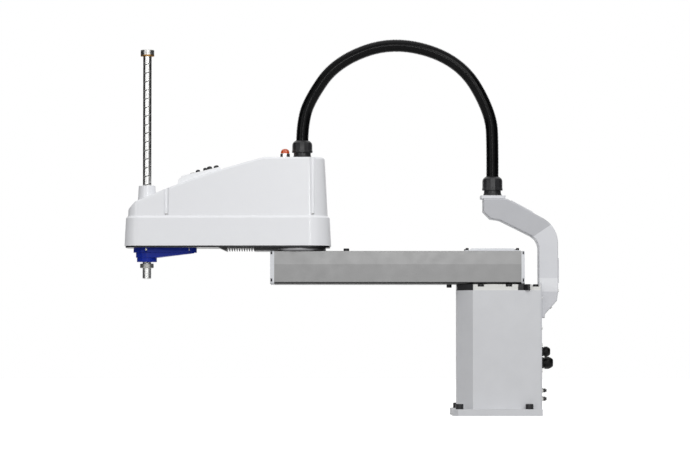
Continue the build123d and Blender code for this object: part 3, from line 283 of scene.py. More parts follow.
def piece_of_form(name, form, materials, crease=38):
    """Object of a form whose edges sharper than the crease, in degrees, stay sharp."""
    mesh = bpy.data.meshes.new(name)
    form.to_mesh(mesh)
    form.free()
    mesh.shade_smooth()
    mesh.set_sharp_from_angle(angle=radians(crease))
    return new_piece(name, mesh, materials)


def plain_mesh(source, name):
    """Object of a source's finished mesh without its modifiers; the source is removed."""
    evaluated = source.evaluated_get(bpy.context.evaluated_depsgraph_get())
    mesh = bpy.data.meshes.new_from_object(evaluated)
    mesh.name = name
    bpy.data.objects.remove(source)
    return new_piece(name, mesh)


def dress(made, body, slot, *nodes):
    """Makes a finished piece ride on a body and stand for CAD nodes."""
    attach(made, body)
    if nodes:
        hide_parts(*nodes)


# Screws and fittings as the CAD places them


class RoundSolid(NamedTuple):
    """A screw or fitting of a CAD node: the foot of its widest part, its axis, and that part's size."""

    foot: Vector
    axis: Vector
    length: float
    radius: float


def loose_solids(node):
    """Vertices of each separate solid in a CAD node."""
    form = bmesh.new()
    form.from_mesh(frame["nodes"][node].data)
    bmesh.ops.remove_doubles(form, verts=form.verts, dist=SEAM)
    solids = []
    for start in form.verts:
        if start.tag:
            continue
        start.tag = True
        front = [start]
        points = []
        while front:
            vert = front.pop()
            points.append(tuple(vert.co))
            others = [edge.other_vert(vert) for edge in vert.link_edges]
            for other in [o for o in others if not o.tag]:
                other.tag = True
                front.append(other)
        solids.append(np.array(points))
    form.free()
    return solids


NEARLY_WIDEST = 0.9  # share of the greatest radius that still counts as the widest part


def round_solid(points, outward):
    """Reads a turned solid from its vertices; outward says which way it faces where its form doesn't."""
    middle = (points.min(0) + points.max(0)) / 2
    sizes, axes = np.linalg.eigh(np.cov((points - points.mean(0)).T))
    axis = axes[:, 0] if sizes[1] - sizes[0] > sizes[2] - sizes[1] else axes[:, 2]
    if axis @ np.array(outward) < 0:
        axis = -axis
    along = (points - middle) @ axis
    away = np.linalg.norm(points - middle - np.outer(along, axis), axis=1)
    wide = along[away > NEARLY_WIDEST * away.max()]
    if wide.min() - along.min() < along.max() - wide.max() - MM / 2:
        axis, along, wide = -axis, -along, -wide
    foot = middle + axis * wide.min()
    return RoundSolid(Vector(foot), Vector(axis), float(np.ptp(wide)), float(away.max()))


def round_solids(node, outward):
    return [round_solid(points, outward) for points in loose_solids(node)]


# Node trees


def new_tree(kind, name, inputs, outputs):
    """Empty node tree, and the sockets inside it that carry its named inputs and outputs."""
    tree = bpy.data.node_groups.new(name, kind)
    for way, sockets in (("INPUT", inputs), ("OUTPUT", outputs)):
        for label, carried in sockets.items():
            tree.interface.new_socket(name=label, in_out=way, socket_type="NodeSocket" + carried)
    return tree, tree.nodes.new("NodeGroupInput").outputs, tree.nodes.new("NodeGroupOutput").inputs


def geometry_tree(name, inputs):
    """Empty Geometry Nodes tree with a geometry going in and out and the named inputs between."""
    given = {"Geometry": "Geometry", **inputs, "Material": "Material"}
    return new_tree("GeometryNodeTree", name, given, {"Geometry": "Geometry"})


def fill(tree, socket, value):
    """Links an input to another socket, or sets its plain value."""
    if isinstance(value, bpy.types.NodeSocket):
        tree.links.new(value, socket)
    else:
        socket.default_value = value


def add_node(tree, kind, options=None, **inputs):
    """Adds a node; inputs are sockets to link from or plain values, named as on the node."""
    made = tree.nodes.new(kind)
    for option, value in (options or {}).items():
        setattr(made, option, value)
    for label, value in inputs.items():
        fill(tree, made.inputs[label.replace("_", " ")], value)
    return made


def calculate(tree, operation, first, second):
    made = add_node(tree, "ShaderNodeMath", {"operation": operation})
    fill(tree, made.inputs[0], first)
    fill(tree, made.inputs[1], second)
    return made.outputs[0]


def on_points(tree, points, thing, **placing):
    """Stands an object on each point."""
    shape = add_node(tree, "GeometryNodeObjectInfo", Object=thing).outputs["Geometry"]
    made = add_node(tree, "GeometryNodeInstanceOnPoints", Points=points, Instance=shape, **placing)
    return made.outputs["Instances"]


def end_tree(tree, geometry, given, result):
    """Ends a tree with its geometry made real and painted."""
    real = add_node(tree, "GeometryNodeRealizeInstances", Geometry=geometry)
    painted = add_node(tree, "GeometryNodeSetMaterial", Geometry=real.outputs["Geometry"],
                       Material=given["Material"])
    fill(tree, result["Geometry"], painted.outputs["Geometry"])
    return tree


def grown(source, tree, name, material, inputs):
    """Object of the mesh that a Geometry Nodes tree makes from a source, its inputs set by their names."""
    modifier = source.modifiers.new(name, "NODES")
    modifier.node_group = tree
    values = {**inputs, "Material": bpy.data.materials[material]}
    for item in tree.interface.items_tree:
        if item.in_out == "INPUT" and item.name in values:
            modifier[item.identifier] = values[item.name]
    return plain_mesh(source, name)


RIB_STEPS = 6  # sections of the duct from one rib to the next, half of them on the rib


def duct_tree():
    """Sweeps a round section along a line, wide at the ribs and narrow in the grooves between."""
    tree, given, result = geometry_tree("Corrugated duct", {
        "Radius": "Float", "Groove depth": "Float", "Rib pitch": "Float", "Sides": "Int"})
    line = add_node(tree, "GeometryNodeMeshToCurve", Mesh=given["Geometry"]).outputs["Curve"]
    spacing = calculate(tree, "DIVIDE", given["Rib pitch"], RIB_STEPS)
    line = add_node(tree, "GeometryNodeResampleCurve", {"mode": "LENGTH"}, Curve=line, Length=spacing)
    step = calculate(tree, "MODULO", tree.nodes.new("GeometryNodeInputIndex").outputs[0], RIB_STEPS)
    in_groove = calculate(tree, "GREATER_THAN", step, (RIB_STEPS - 1) / 2)
    depth = calculate(tree, "MULTIPLY", in_groove, given["Groove depth"])
    radius = calculate(tree, "SUBTRACT", given["Radius"], depth)
    section = add_node(tree, "GeometryNodeCurvePrimitiveCircle", Resolution=given["Sides"], Radius=1.0)
    swept = add_node(tree, "GeometryNodeCurveToMesh", Curve=line.outputs["Curve"], Scale=radius,
                     Profile_Curve=section.outputs["Curve"], Fill_Caps=True)
    smooth = add_node(tree, "GeometryNodeSetShadeSmooth", Geometry=swept.outputs["Mesh"])
    return end_tree(tree, smooth.outputs["Geometry"], given, result)


def screw_tree():
    """Stands a screw head on each point, facing along the point's axis."""
    tree, given, result = geometry_tree("Screw heads", {
        "Head": "Object", "Radius": "Float", "Height": "Float"})
    axis = add_node(tree, "GeometryNodeInputNamedAttribute", {"data_type": "FLOAT_VECTOR"}, Name="axis")
    turn = add_node(tree, "FunctionNodeAlignRotationToVector", {"axis": "Z"},
                    Vector=axis.outputs["Attribute"])
    size = add_node(tree, "ShaderNodeCombineXYZ", X=given["Radius"], Y=given["Radius"], Z=given["Height"])
    heads = on_points(tree, given["Geometry"], given["Head"], Rotation=turn.outputs["Rotation"],
                      Scale=size.outputs["Vector"])
    return end_tree(tree, heads, given, result)


def row_tree():
    """Repeats an object in a row at even steps."""
    tree, given, result = geometry_tree("Fin row", {
        "Fin": "Object", "Count": "Int", "Start": "Vector", "Step": "Vector"})
    line = add_node(tree, "GeometryNodeMeshLine", Count=given["Count"], Start_Location=given["Start"],
                    Offset=given["Step"])
    return end_tree(tree, on_points(tree, line.outputs["Mesh"], given["Fin"]), given, result)


# Effects that the finishes share

# Scales of the noises, in waves to the metre, and how much finer and fainter a grain's second noise is.
COLOUR_DRIFT = 22.0
GLOSS_DRIFT = 38.0
DUST_PATCHES = 55.0
WORN_AND_HIGHLIT_PATCHES = 160.0
FINER = 3.1
FAINTER = 0.4
PATCH_DETAIL = 6.0
# The noise's values that count as its lowest and highest, and what patches leave of an effect there.
MIDDLE_NOISE = (0.3, 0.7)
WORN_AND_HIGHLIT_NOISE = (0.4, 0.62)
WORN_AND_HIGHLIT_SHARES = (0.25, 1.0)
DUST_NOISE = (0.35, 0.75)
DUST_SHARES = (0.3, 1.0)
NONE_TO_ALL = (0.0, 1.0)
# Edges are lightened both as worn paint and as a painted highlight along them.
EDGE_SHARPNESS = (0.99, 0.85)  # cosines between the rounded and the plain normal: unworn and worn through
EDGE_WIDTH = 0.6 * MM
DUST_SLOPES = (0.5, 1.0)  # how far a surface faces up where dust first lies, and where all of it lies
# Colour of worn edges, which also stands for a painted highlight along them.
WORN_METAL_AND_HIGHLIGHT = (*tone(205, 205, 202), 1.0)
DUST = (*tone(150, 148, 143), 1.0)


def effect_group(name, result, **inputs):
    """Empty shader group that works on a position."""
    given = {"Position": "Vector", **{label.replace("_", " "): kind for label, kind in inputs.items()}}
    return new_tree("ShaderNodeTree", name, given, result)


def noise(tree, position, scale, detail=2.0):
    return add_node(tree, "ShaderNodeTexNoise", Vector=position, Scale=scale, Detail=detail).outputs["Fac"]


def mapped(tree, value, given, wanted):
    """Value carried from one range to another."""
    made = add_node(tree, "ShaderNodeMapRange", From_Min=given[0], From_Max=given[1], To_Min=wanted[0],
                    To_Max=wanted[1], Value=value)
    return made.outputs["Result"]


def mixed(tree, share, first, second):
    """Colour between two, by a share."""
    made = add_node(tree, "ShaderNodeMix", {"data_type": "RGBA"})
    # The sockets for colours stand after those for numbers and vectors, which have the same names.
    for place, value in ((0, share), (6, first), (7, second)):
        fill(tree, made.inputs[place], value)
    return made.outputs[2]


def grain_group():
    """Height of a fine grain, such as orange peel in paint or brush lines in metal."""
    group, given, result = effect_group("Surface grain", {"Height": "Float"}, Scale="Float")
    coarse = noise(group, given["Position"], given["Scale"])
    fine = noise(group, given["Position"], calculate(group, "MULTIPLY", given["Scale"], FINER))
    faint = calculate(group, "MULTIPLY", fine, FAINTER)
    fill(group, result["Height"], calculate(group, "ADD", coarse, faint))


def mottle_group():
    """Colour that drifts a little over a surface."""
    group, given, result = effect_group("Colour drift", {"Colour": "Color"}, Colour="Color", Amount="Float")
    drift = noise(group, given["Position"], COLOUR_DRIFT, 4.0)
    low = calculate(group, "SUBTRACT", 1.0, given["Amount"])
    high = calculate(group, "ADD", 1.0, calculate(group, "MULTIPLY", given["Amount"], 0.5))
    factor = mapped(group, drift, MIDDLE_NOISE, (low, high))
    scaled = add_node(group, "ShaderNodeVectorMath", {"operation": "SCALE"}, Scale=factor)
    fill(group, scaled.inputs[0], given["Colour"])
    fill(group, result["Colour"], scaled.outputs[0])


def gloss_group():
    """Roughness that changes a little over a surface, as handling leaves it."""
    group, given, result = effect_group("Gloss drift", {"Roughness": "Float"}, Roughness="Float",
                                        Spread="Float")
    drift = noise(group, given["Position"], GLOSS_DRIFT, 5.0)
    low = calculate(group, "SUBTRACT", given["Roughness"], given["Spread"])
    high = calculate(group, "ADD", given["Roughness"], given["Spread"])
    fill(group, result["Roughness"], mapped(group, drift, MIDDLE_NOISE, (low, high)))


def edge_wear_and_highlight_group():
    """Colour of edges lightened in patches: paint worn through to metal, and a painted highlight along the edges."""
    group, given, result = effect_group("Edge wear", {"Colour": "Color"}, Colour="Color", Amount="Float")
    rounded = add_node(group, "ShaderNodeBevel", {"samples": 4}, Radius=EDGE_WIDTH)
    plain = group.nodes.new("ShaderNodeNewGeometry")
    match = add_node(group, "ShaderNodeVectorMath", {"operation": "DOT_PRODUCT"})
    fill(group, match.inputs[0], rounded.outputs["Normal"])
    fill(group, match.inputs[1], plain.outputs["Normal"])
    edge = mapped(group, match.outputs["Value"], EDGE_SHARPNESS, NONE_TO_ALL)
    drift = noise(group, given["Position"], WORN_AND_HIGHLIT_PATCHES, PATCH_DETAIL)
    patches = mapped(group, drift, WORN_AND_HIGHLIT_NOISE, WORN_AND_HIGHLIT_SHARES)
    mask = calculate(group, "MULTIPLY", calculate(group, "MULTIPLY", edge, patches), given["Amount"])
    fill(group, result["Colour"], mixed(group, mask, given["Colour"], WORN_METAL_AND_HIGHLIGHT))


def dust_group():
    """Colour with a thin film of dust where the surface faces up."""
    group, given, result = effect_group("Settled dust", {"Colour": "Color"}, Normal="Vector", Colour="Color",
                                        Amount="Float")
    parts = add_node(group, "ShaderNodeSeparateXYZ", Vector=given["Normal"])
    flat = mapped(group, parts.outputs["Z"], DUST_SLOPES, NONE_TO_ALL)
    drift = noise(group, given["Position"], DUST_PATCHES, PATCH_DETAIL)
    patches = mapped(group, drift, DUST_NOISE, DUST_SHARES)
    mask = calculate(group, "MULTIPLY", calculate(group, "MULTIPLY", flat, patches), given["Amount"])
    fill(group, result["Colour"], mixed(group, mask, given["Colour"], DUST))


def light_and_shade_band_group():
    """Colour that changes to another below a height, on a line that may lean along X; it paints light and shade as
    bands.
    """
    group, given, result = effect_group("Lower band", {"Colour": "Color"}, Colour="Color",
                                        Low_colour="Color", Height="Float", Lean="Float")
    parts = add_node(group, "ShaderNodeSeparateXYZ", Vector=given["Position"])
    offset = calculate(group, "MULTIPLY", parts.outputs["X"], given["Lean"])
    leaned = calculate(group, "ADD", parts.outputs["Z"], offset)
    below = calculate(group, "LESS_THAN", leaned, given["Height"])
    fill(group, result["Colour"], mixed(group, below, given["Colour"], given["Low colour"]))


def effect(tree, name, output, **inputs):
    """Output of a shared effect in a material."""
    made = add_node(tree, "ShaderNodeGroup", {"node_tree": bpy.data.node_groups[name]}, **inputs)
    return made.outputs[output]


# Finishes


class Finish(NamedTuple):
    """Colour, gloss and fine texture of a finish, with sizes in millimetres.

    Bands are heights, each with its lean and the colour below it. Sockets are other inputs of the shader
    with their values.
    """

    colour: tuple
    roughness: float
    metallic: float = 0.0
    coat: float = 0.0
    grain_size: float = 0.9
    grain_depth: float = 0.02
    stretch: tuple = (1, 1, 1)
    mottle: float = 0.03
    gloss_spread: float = 0.05
    wear: float = 0.0
    dust: float = 0.0
    specular: float = 0.5
    bands: tuple = ()
    sockets: tuple = ()


def opaque(colour):
    return (*colour[:3], 1.0)


def principled(name, values):
    """New material with values on its shader's sockets, and that shader."""
    material = bpy.data.materials.new(name)
    material.use_nodes = True
    shader = material.node_tree.nodes["Principled BSDF"]
    for label, value in values.items():
        shader.inputs[label].default_value = value
    return material, shader


def finish_material(name, finish):
    """Material of a finish."""
    material, shader = principled(name + "_finish", {
        "Metallic": finish.metallic, "Coat Weight": finish.coat, "Specular IOR Level": finish.specular,
        **dict(finish.sockets)})
    tree = material.node_tree
    coordinates = tree.nodes.new("ShaderNodeTexCoord").outputs
    place = coordinates["Object"]
    colour = opaque(finish.colour)
    # Painted light and shade: bands of another tone below set heights.
    for height, lean, below in finish.bands:
        colour = effect(tree, "Lower band", "Colour", Position=place, Colour=colour,
                        Low_colour=opaque(below), Height=height, Lean=lean)
    colour = effect(tree, "Colour drift", "Colour", Position=place, Colour=colour, Amount=finish.mottle)
    # Edges lightened as worn paint and as a painted edge highlight.
    if finish.wear:
        colour = effect(tree, "Edge wear", "Colour", Position=place, Colour=colour, Amount=finish.wear)
    if finish.dust:
        colour = effect(tree, "Settled dust", "Colour", Position=place, Normal=coordinates["Normal"],
                        Colour=colour, Amount=finish.dust)
    gloss = effect(tree, "Gloss drift", "Roughness", Position=place, Roughness=finish.roughness,
                   Spread=finish.gloss_spread)
    lengthened = add_node(tree, "ShaderNodeMapping", Vector=place, Scale=finish.stretch)
    height = effect(tree, "Surface grain", "Height", Position=lengthened.outputs["Vector"],
                    Scale=1 / (finish.grain_size * MM))
    bump = add_node(tree, "ShaderNodeBump", Height=height, Strength=1.0, Distance=finish.grain_depth * MM)
    fill(tree, shader.inputs["Base Color"], colour)
    fill(tree, shader.inputs["Roughness"], gloss)
    fill(tree, shader.inputs["Normal"], bump.outputs["Normal"])
    return material


# Height of the beam's crease, below which its colour is painted darker as shade.
BEAM_CREASE = 0.347
# Top of the dark band painted along the beam's lower edge as its shadow.
BEAM_EDGE_SHADE_TOP = 0.3062
# Painted light and shade: each band's tone darkens or lightens the side, for facets that face the light more or less.
# Lines across the bracket's side, each with its lean and the tone below it: slope, post, heel's top, heel.
BRACKET_LIGHT_AND_SHADE_BANDS = (
    (0.4975, 0.0, tone(186, 187, 191)),
    (0.3483, -0.68, tone(217, 218, 222)),
    (0.3160, 0.0, tone(231, 232, 235)),
    (0.2846, 0.0, tone(211, 212, 216)),
)
ALONG_X = (0.03, 1, 1)
ROUND_Z = (1, 1, 0.05)
# Parts whose finish isn't that of their slot.
OWN_FINISHES = {
    "lower_stop_collar": "collar_steel", "j1_output_flange": "cast_hub", "base_top_flange": "flange_paint",
    "user_panel": "panel_paint", "duct_bracket": "bracket_paint",
}


def robot_finishes(paint):
    """Finish of each material slot, and of the few that single pieces have."""
    sheet = Finish(paint.sheet, 0.44, grain_size=0.8, grain_depth=0.02, wear=0.1, dust=0.05)
    moulded = Finish(paint.cover, 0.3, coat=0.2, grain_size=0.5, grain_depth=0.005, mottle=0.006,
                     gloss_spread=0.02)
    return {
        "cast_paint": Finish(paint.casting, 0.46, grain_size=1.1, grain_depth=0.035, wear=0.12, dust=0.05),
        "flange_paint": Finish(paint.flange, 0.5, grain_size=0.8, grain_depth=0.015, mottle=0.02),
        "sheet_paint": sheet,
        # The bracket's bands paint light and shade on its side.
        "bracket_paint": sheet._replace(colour=paint.bracket, bands=BRACKET_LIGHT_AND_SHADE_BANDS),
        "white_cover": moulded,
        "panel_paint": moulded._replace(colour=paint.panel),
        "white_paint": Finish(paint.cover, 0.36, coat=0.1, grain_depth=0.012, mottle=0.008,
                              gloss_spread=0.02),
        "cap_paint": Finish(paint.caps, 0.42, grain_size=0.8, grain_depth=0.015, wear=0.1),
        # The beam's bands are painted shade: a darker lower half and a dark lower edge.
        "extrusion": Finish(paint.beam, 0.4, metallic=0.45, grain_size=0.35, grain_depth=0.006,
                            stretch=ALONG_X, wear=0.15,
                            bands=((BEAM_CREASE, 0.0, paint.beam_low), (BEAM_EDGE_SHADE_TOP, 0.0, paint.beam_edge_shade))),
        "black_paint": Finish(paint.black, 0.3, metallic=0.3, grain_size=0.5, grain_depth=0.008, wear=0.18,
                              dust=0.05, specular=0.35),
        "black_plastic": Finish(paint.nylon, 0.34, grain_size=0.4, grain_depth=0.01, dust=0.04,
                                specular=0.35),
        "duct_plastic": Finish(paint.duct, 0.22, grain_size=0.5, grain_depth=0.002, specular=0.13),
        "gland_nylon": Finish(paint.gland, 0.34, grain_size=0.4, grain_depth=0.01, specular=0.12),
        "blue_plastic": Finish(paint.blue, 0.34, grain_size=0.6, grain_depth=0.008, wear=0.06,
                               specular=0.16),
        "belt_rubber": Finish(tone(30, 30, 30), 0.7, grain_size=0.3),
        "connector_grey": Finish(tone(196, 196, 194), 0.35, grain_size=0.4, grain_depth=0.004),
        "lamp_lens": Finish(paint.lens, 0.14, coat=0.6, grain_size=2.0, grain_depth=0.004, mottle=0.08,
                            sockets=(("Transmission Weight", 0.25), ("IOR", 1.49))),
        "lamp_chrome": Finish(tone(222, 222, 222), 0.1, metallic=1.0, grain_size=0.5, grain_depth=0.0005),
        "ground_steel": Finish(paint.steel, 0.27, metallic=1.0, grain_size=0.15, grain_depth=0.0004,
                               stretch=ROUND_Z, mottle=0.05),
        "track_steel": Finish(paint.track, 0.55, metallic=0.6, grain_size=0.15, grain_depth=0.0004),
        "machined_steel": Finish(tone(184, 184, 181), 0.34, metallic=1.0, grain_size=0.2, grain_depth=0.0015,
                                 mottle=0.06, wear=0.1),
        # Painted shade: a darker copy of the machined steel, for the collar that sits in the shade under the arm.
        "collar_steel": Finish(tone(152, 152, 149), 0.34, metallic=1.0, grain_size=0.3, grain_depth=0.0015),
        "bearing_steel": Finish(tone(190, 190, 188), 0.24, metallic=1.0, grain_size=0.2, grain_depth=0.002),
        "elbow_metal": Finish(paint.elbow, 0.4, metallic=0.85, grain_size=0.3, grain_depth=0.003,
                              mottle=0.05, wear=0.12),
        "cast_hub": Finish(paint.hub, 0.5, grain_size=0.6, grain_depth=0.01, mottle=0.04),
        "bronze_ring": Finish(paint.ring, 0.4, metallic=0.8, grain_size=0.4, grain_depth=0.006, mottle=0.12),
        "screw_black": Finish(tone(44, 44, 46), 0.36, metallic=0.6, grain_size=0.4, grain_depth=0.006,
                              wear=0.3),
        "screw_zinc": Finish(tone(178, 178, 175), 0.3, metallic=1.0, grain_size=0.3, grain_depth=0.003),
        "motor_case": Finish(tone(40, 40, 43), 0.4, metallic=0.4, wear=0.15),
    }


class RobotFinishes(Operator):
    """Gives every CAD part its finish"""

    bl_idname = "robot_dress.finishes"
    bl_label = "Finishes"

    def execute(self, context):
        for build in (grain_group, mottle_group, gloss_group, edge_wear_and_highlight_group, dust_group, light_and_shade_band_group):
            build()
        finishes = robot_finishes(settings("paint"))
        made = {name: finish_material(name, finish) for name, finish in finishes.items()}
        for part in frame["nodes"].values():
            for place in part.material_slots:
                place.material = made[place.material.name.split(".")[0]]
        for name, finish in OWN_FINISHES.items():
            frame["nodes"][name].material_slots[0].material = made[finish]
        return {"FINISHED"}


# Duct

# The route from the front gland over the arm to the gland behind the column, as the CAD has it.
DUCT_ROUTE = [
    (-0.4405, 0, 0.6348), (-0.4400, 0, 0.6700), (-0.4266, 0, 0.7250), (-0.3626, 0, 0.8185),
    (-0.2268, 0, 0.8678), (-0.0743, 0, 0.8212), (-0.0025, 0, 0.7000), (0.0008, 0, 0.6120), (0, 0, 0.5510),
]


def duct_line():
    """Mesh line along the smooth curve of the duct's route."""
    curve = bpy.data.curves.new("duct_route", "CURVE")
    curve.dimensions = "3D"
    spline = curve.splines.new("NURBS")
    spline.points.add(len(DUCT_ROUTE) - 1)
    for point, place in zip(spline.points, DUCT_ROUTE):
        point.co = (*place, 1)
    spline.order_u = 3
    spline.use_endpoint_u = True
    spline.resolution_u = 16
    route = bpy.data.objects.new("duct_route", curve)
    bpy.context.scene.collection.objects.link(route)
    return plain_mesh(route, "cable_duct_ribbed")


class RobotDuct(Operator):
    """Makes the corrugated duct from the column's bracket to the second arm"""

    bl_idname = "robot_dress.duct"
    bl_label = "Cable duct"

    def execute(self, context):
        sizes = settings("duct")
        line = duct_line()
        path = [tuple(v.co) for v in line.data.vertices]
        duct = grown(line, duct_tree(), "cable_duct_ribbed", "duct_plastic_finish", {
            "Radius": sizes.diameter / 2, "Groove depth": sizes.groove_depth, "Rib pitch": sizes.rib_pitch,
            "Sides": sizes.sides})
        duct.data.set_sharp_from_angle(angle=radians(30))
        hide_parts("cable_duct")
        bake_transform(duct)
        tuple(DUCT_ROUTE[0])
        return {"FINISHED"}


# Shaft

SHAFT_X = -0.8
SHAFT_SIDES = 60
SHAFT_CHAMFER = 1.0 * MM
SHAFT_BORE = 7.0 * MM
PLAIN_END = 36.0 * MM
COVERED_TOP = 13.0 * MM


def shaft_ring(form, height, radius, twist=0.0, depth=0.0, half_width=0.0):
    """Ring of vertices round the shaft, cut in by the ball track at the twist's angle."""
    ring = []
    for i in range(SHAFT_SIDES):
        angle = tau * i / SHAFT_SIDES
        from_track = min(angle, tau - angle)
        cut = depth * cos(from_track / half_width * pi / 2) if from_track < half_width else 0.0
        reach = radius - cut
        corner = (SHAFT_X + reach * cos(angle + twist), reach * sin(angle + twist), height)
        ring.append(form.verts.new(corner))
    return ring


class RobotShaft(Operator):
    """Makes the hollow shaft with its ball track"""

    bl_idname = "robot_dress.shaft"
    bl_label = "Shaft"

    def execute(self, context):
        sizes = settings("shaft")
        low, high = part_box("spline_shaft")
        radius = (high.x - low.x) / 2
        track_low = low.z + PLAIN_END
        track_high = high.z - COVERED_TOP
        half_width = pi * sizes.track_width / sizes.lead
        steps = round((track_high - track_low) / MM)
        form = bmesh.new()
        low_twist = self.twist_at(track_low)
        foot = ((low.z, SHAFT_BORE), (low.z, radius - SHAFT_CHAMFER), (low.z + SHAFT_CHAMFER, radius),
                (track_low - MM, radius))
        rings = [shaft_ring(form, height, reach, low_twist) for height, reach in foot]
        for step in range(steps + 1):
            height = track_low + (track_high - track_low) * step / steps
            twist = self.twist_at(height)
            from_end = min(height - track_low, track_high - height)
            depth = sizes.track_depth * min(1, from_end / sizes.wiper_width)
            rings.append(shaft_ring(form, height, radius, twist, depth, half_width))
        rings += [shaft_ring(form, high.z, reach, twist) for reach in (radius, SHAFT_BORE)]
        strip = int(half_width / tau * SHAFT_SIDES)
        for lower, upper in zip(rings, rings[1:]):
            grooved = lower[0].co.z > track_low and upper[0].co.z < track_high
            bridge(form, lower, upper, material=1, strip=strip if grooved else 0)
        bridge(form, self.nearest_first(rings[-1], rings[0][0]), rings[0])
        bmesh.ops.recalc_face_normals(form, faces=form.faces)
        shaft = piece_of_form("grooved_shaft", form, ["ground_steel_finish", "track_steel_finish"],
                              crease=30)
        dress(shaft, "shaft", "ground_steel", "spline_shaft")
        return {"FINISHED"}

    @staticmethod
    def twist_at(height):
        """Angle of the ball track at a height."""
        sizes = settings("shaft")
        return tau * (height - sizes.track_height) / sizes.lead - pi / 2

    @staticmethod
    def nearest_first(ring, vertex):
        """The ring's vertices, starting at the one at nearly the same angle as the vertex."""
        flat = [(v.co.xy - vertex.co.xy).length for v in ring]
        start = flat.index(min(flat))
        return ring[start:] + ring[:start]


# Screws

# Name, node, body, slot and outward side of each group of screws.
SCREW_GROUPS = (
    ("column_top_screws", "top_flange_bolts", "base", "screw_black", (0, 0, 1)),
    ("panel_screw_heads", "panel_screws", "base", "screw_zinc", (1, 0, 0)),
    ("beam_screw_heads", "beam_screws", "arm_1", "screw_black", (0, 0, 1)),
    ("stop_bolt_heads", "stop_bolts", "arm_1", "screw_black", (0, 0, 1)),
    ("cover_screw_heads", "arm2_screws", "arm_2", "screw_zinc", (0, 0, 1)),
)
SOCKET_FLOOR = 0.45
BEYOND_SOCKET = 2  # a radius that the socket's hexagon trims all round


def screw_head(sizes):
    """Screw head one unit high and one in radius, with a chamfered rim and a hexagon socket."""
    flats = sizes.socket_share * cos(pi / 6)
    chamfer = sizes.chamfer_share
    form = bmesh.new()
    turned(form, [Ring(0, 1), Ring(1 - chamfer, 1), Ring(1, 1 - chamfer), Ring(1, BEYOND_SOCKET, flats),
                  Ring(SOCKET_FLOOR, BEYOND_SOCKET, flats)], sides=24)
    return piece_of_form("screw_head", form, [], crease=30)


def places_mesh(solids):
    """Mesh of one point for each screw, with its axis."""
    mesh = bpy.data.meshes.new("screw_places")
    mesh.from_pydata([s.foot for s in solids], [], [])
    axes = mesh.attributes.new("axis", "FLOAT_VECTOR", "POINT")
    for item, solid in zip(axes.data, solids):
        item.vector = solid.axis
    return mesh


def head_size(solid):
    return round(solid.radius, 5), round(solid.length, 5)


def set_screws(name, solids, head, tree, slot):
    """Screw heads at their places, as one mesh; like sizes share one run of the tree."""
    form = bmesh.new()
    for radius, length in sorted({head_size(s) for s in solids}):
        alike = [s for s in solids if head_size(s) == (radius, length)]
        places = new_piece("screw_places", places_mesh(alike))
        heads = grown(places, tree, "screw_run", slot + "_finish", {
            "Head": head, "Radius": radius, "Height": length})
        form.from_mesh(heads.data)
        bpy.data.objects.remove(heads)
    return piece_of_form(name, form, [slot + "_finish"], crease=30)


class RobotScrews(Operator):
    """Sets every screw head that shows"""

    bl_idname = "robot_dress.screws"
    bl_label = "Screws"

    def execute(self, context):
        sizes = settings("screws")
        head = screw_head(sizes)
        tree = screw_tree()
        for name, node, body, slot, outward in SCREW_GROUPS:
            solids = [self.turned_out(node, s) for s in round_solids(node, outward)]
            dress(set_screws(name, solids, head, tree, slot), body, slot, node)
        reach = frame["record"]["mounts"][0]["dims"]["spacing_x_mm"] * MM / 2
        feet = [RoundSolid(Vector((x, y, sizes.foot_top)), UP, sizes.foot_height, sizes.foot_radius)
                for x in (-reach, reach) for y in (-reach, reach)]
        dress(set_screws("foot_screws", feet, head, tree, "screw_black"), "base", "screw_black")
        bpy.data.objects.remove(head)
        return {"FINISHED"}

    @staticmethod
    def turned_out(node, solid):
        """The screws without a shank, turned to face away from the part that they hold."""
        beam_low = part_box("arm1_beam")[0]
        faces_in = node == "beam_screws" and solid.axis.x > 0.5 and solid.foot.x < beam_low.x
        faces_up = node == "stop_bolts" and solid.foot.z < beam_low.z
        if faces_in or faces_up:
            top = solid.foot + solid.axis * solid.length
            return solid._replace(foot=top, axis=-solid.axis)
        return solid


# Elbow disc

ELBOW_X = -0.45
FIRST_FIN_X = -0.6138
PLATE_BEVEL = 17.0 * MM
PLATE_HALF_WIDTH = 46.0 * MM
FIN_TAPER = 0.4 * MM
# Shares of the rounding of the disc's rims: how far towards its middle height, and how far in.
RIM = ((0, 1), (0.4, 0.35), (1, 0))


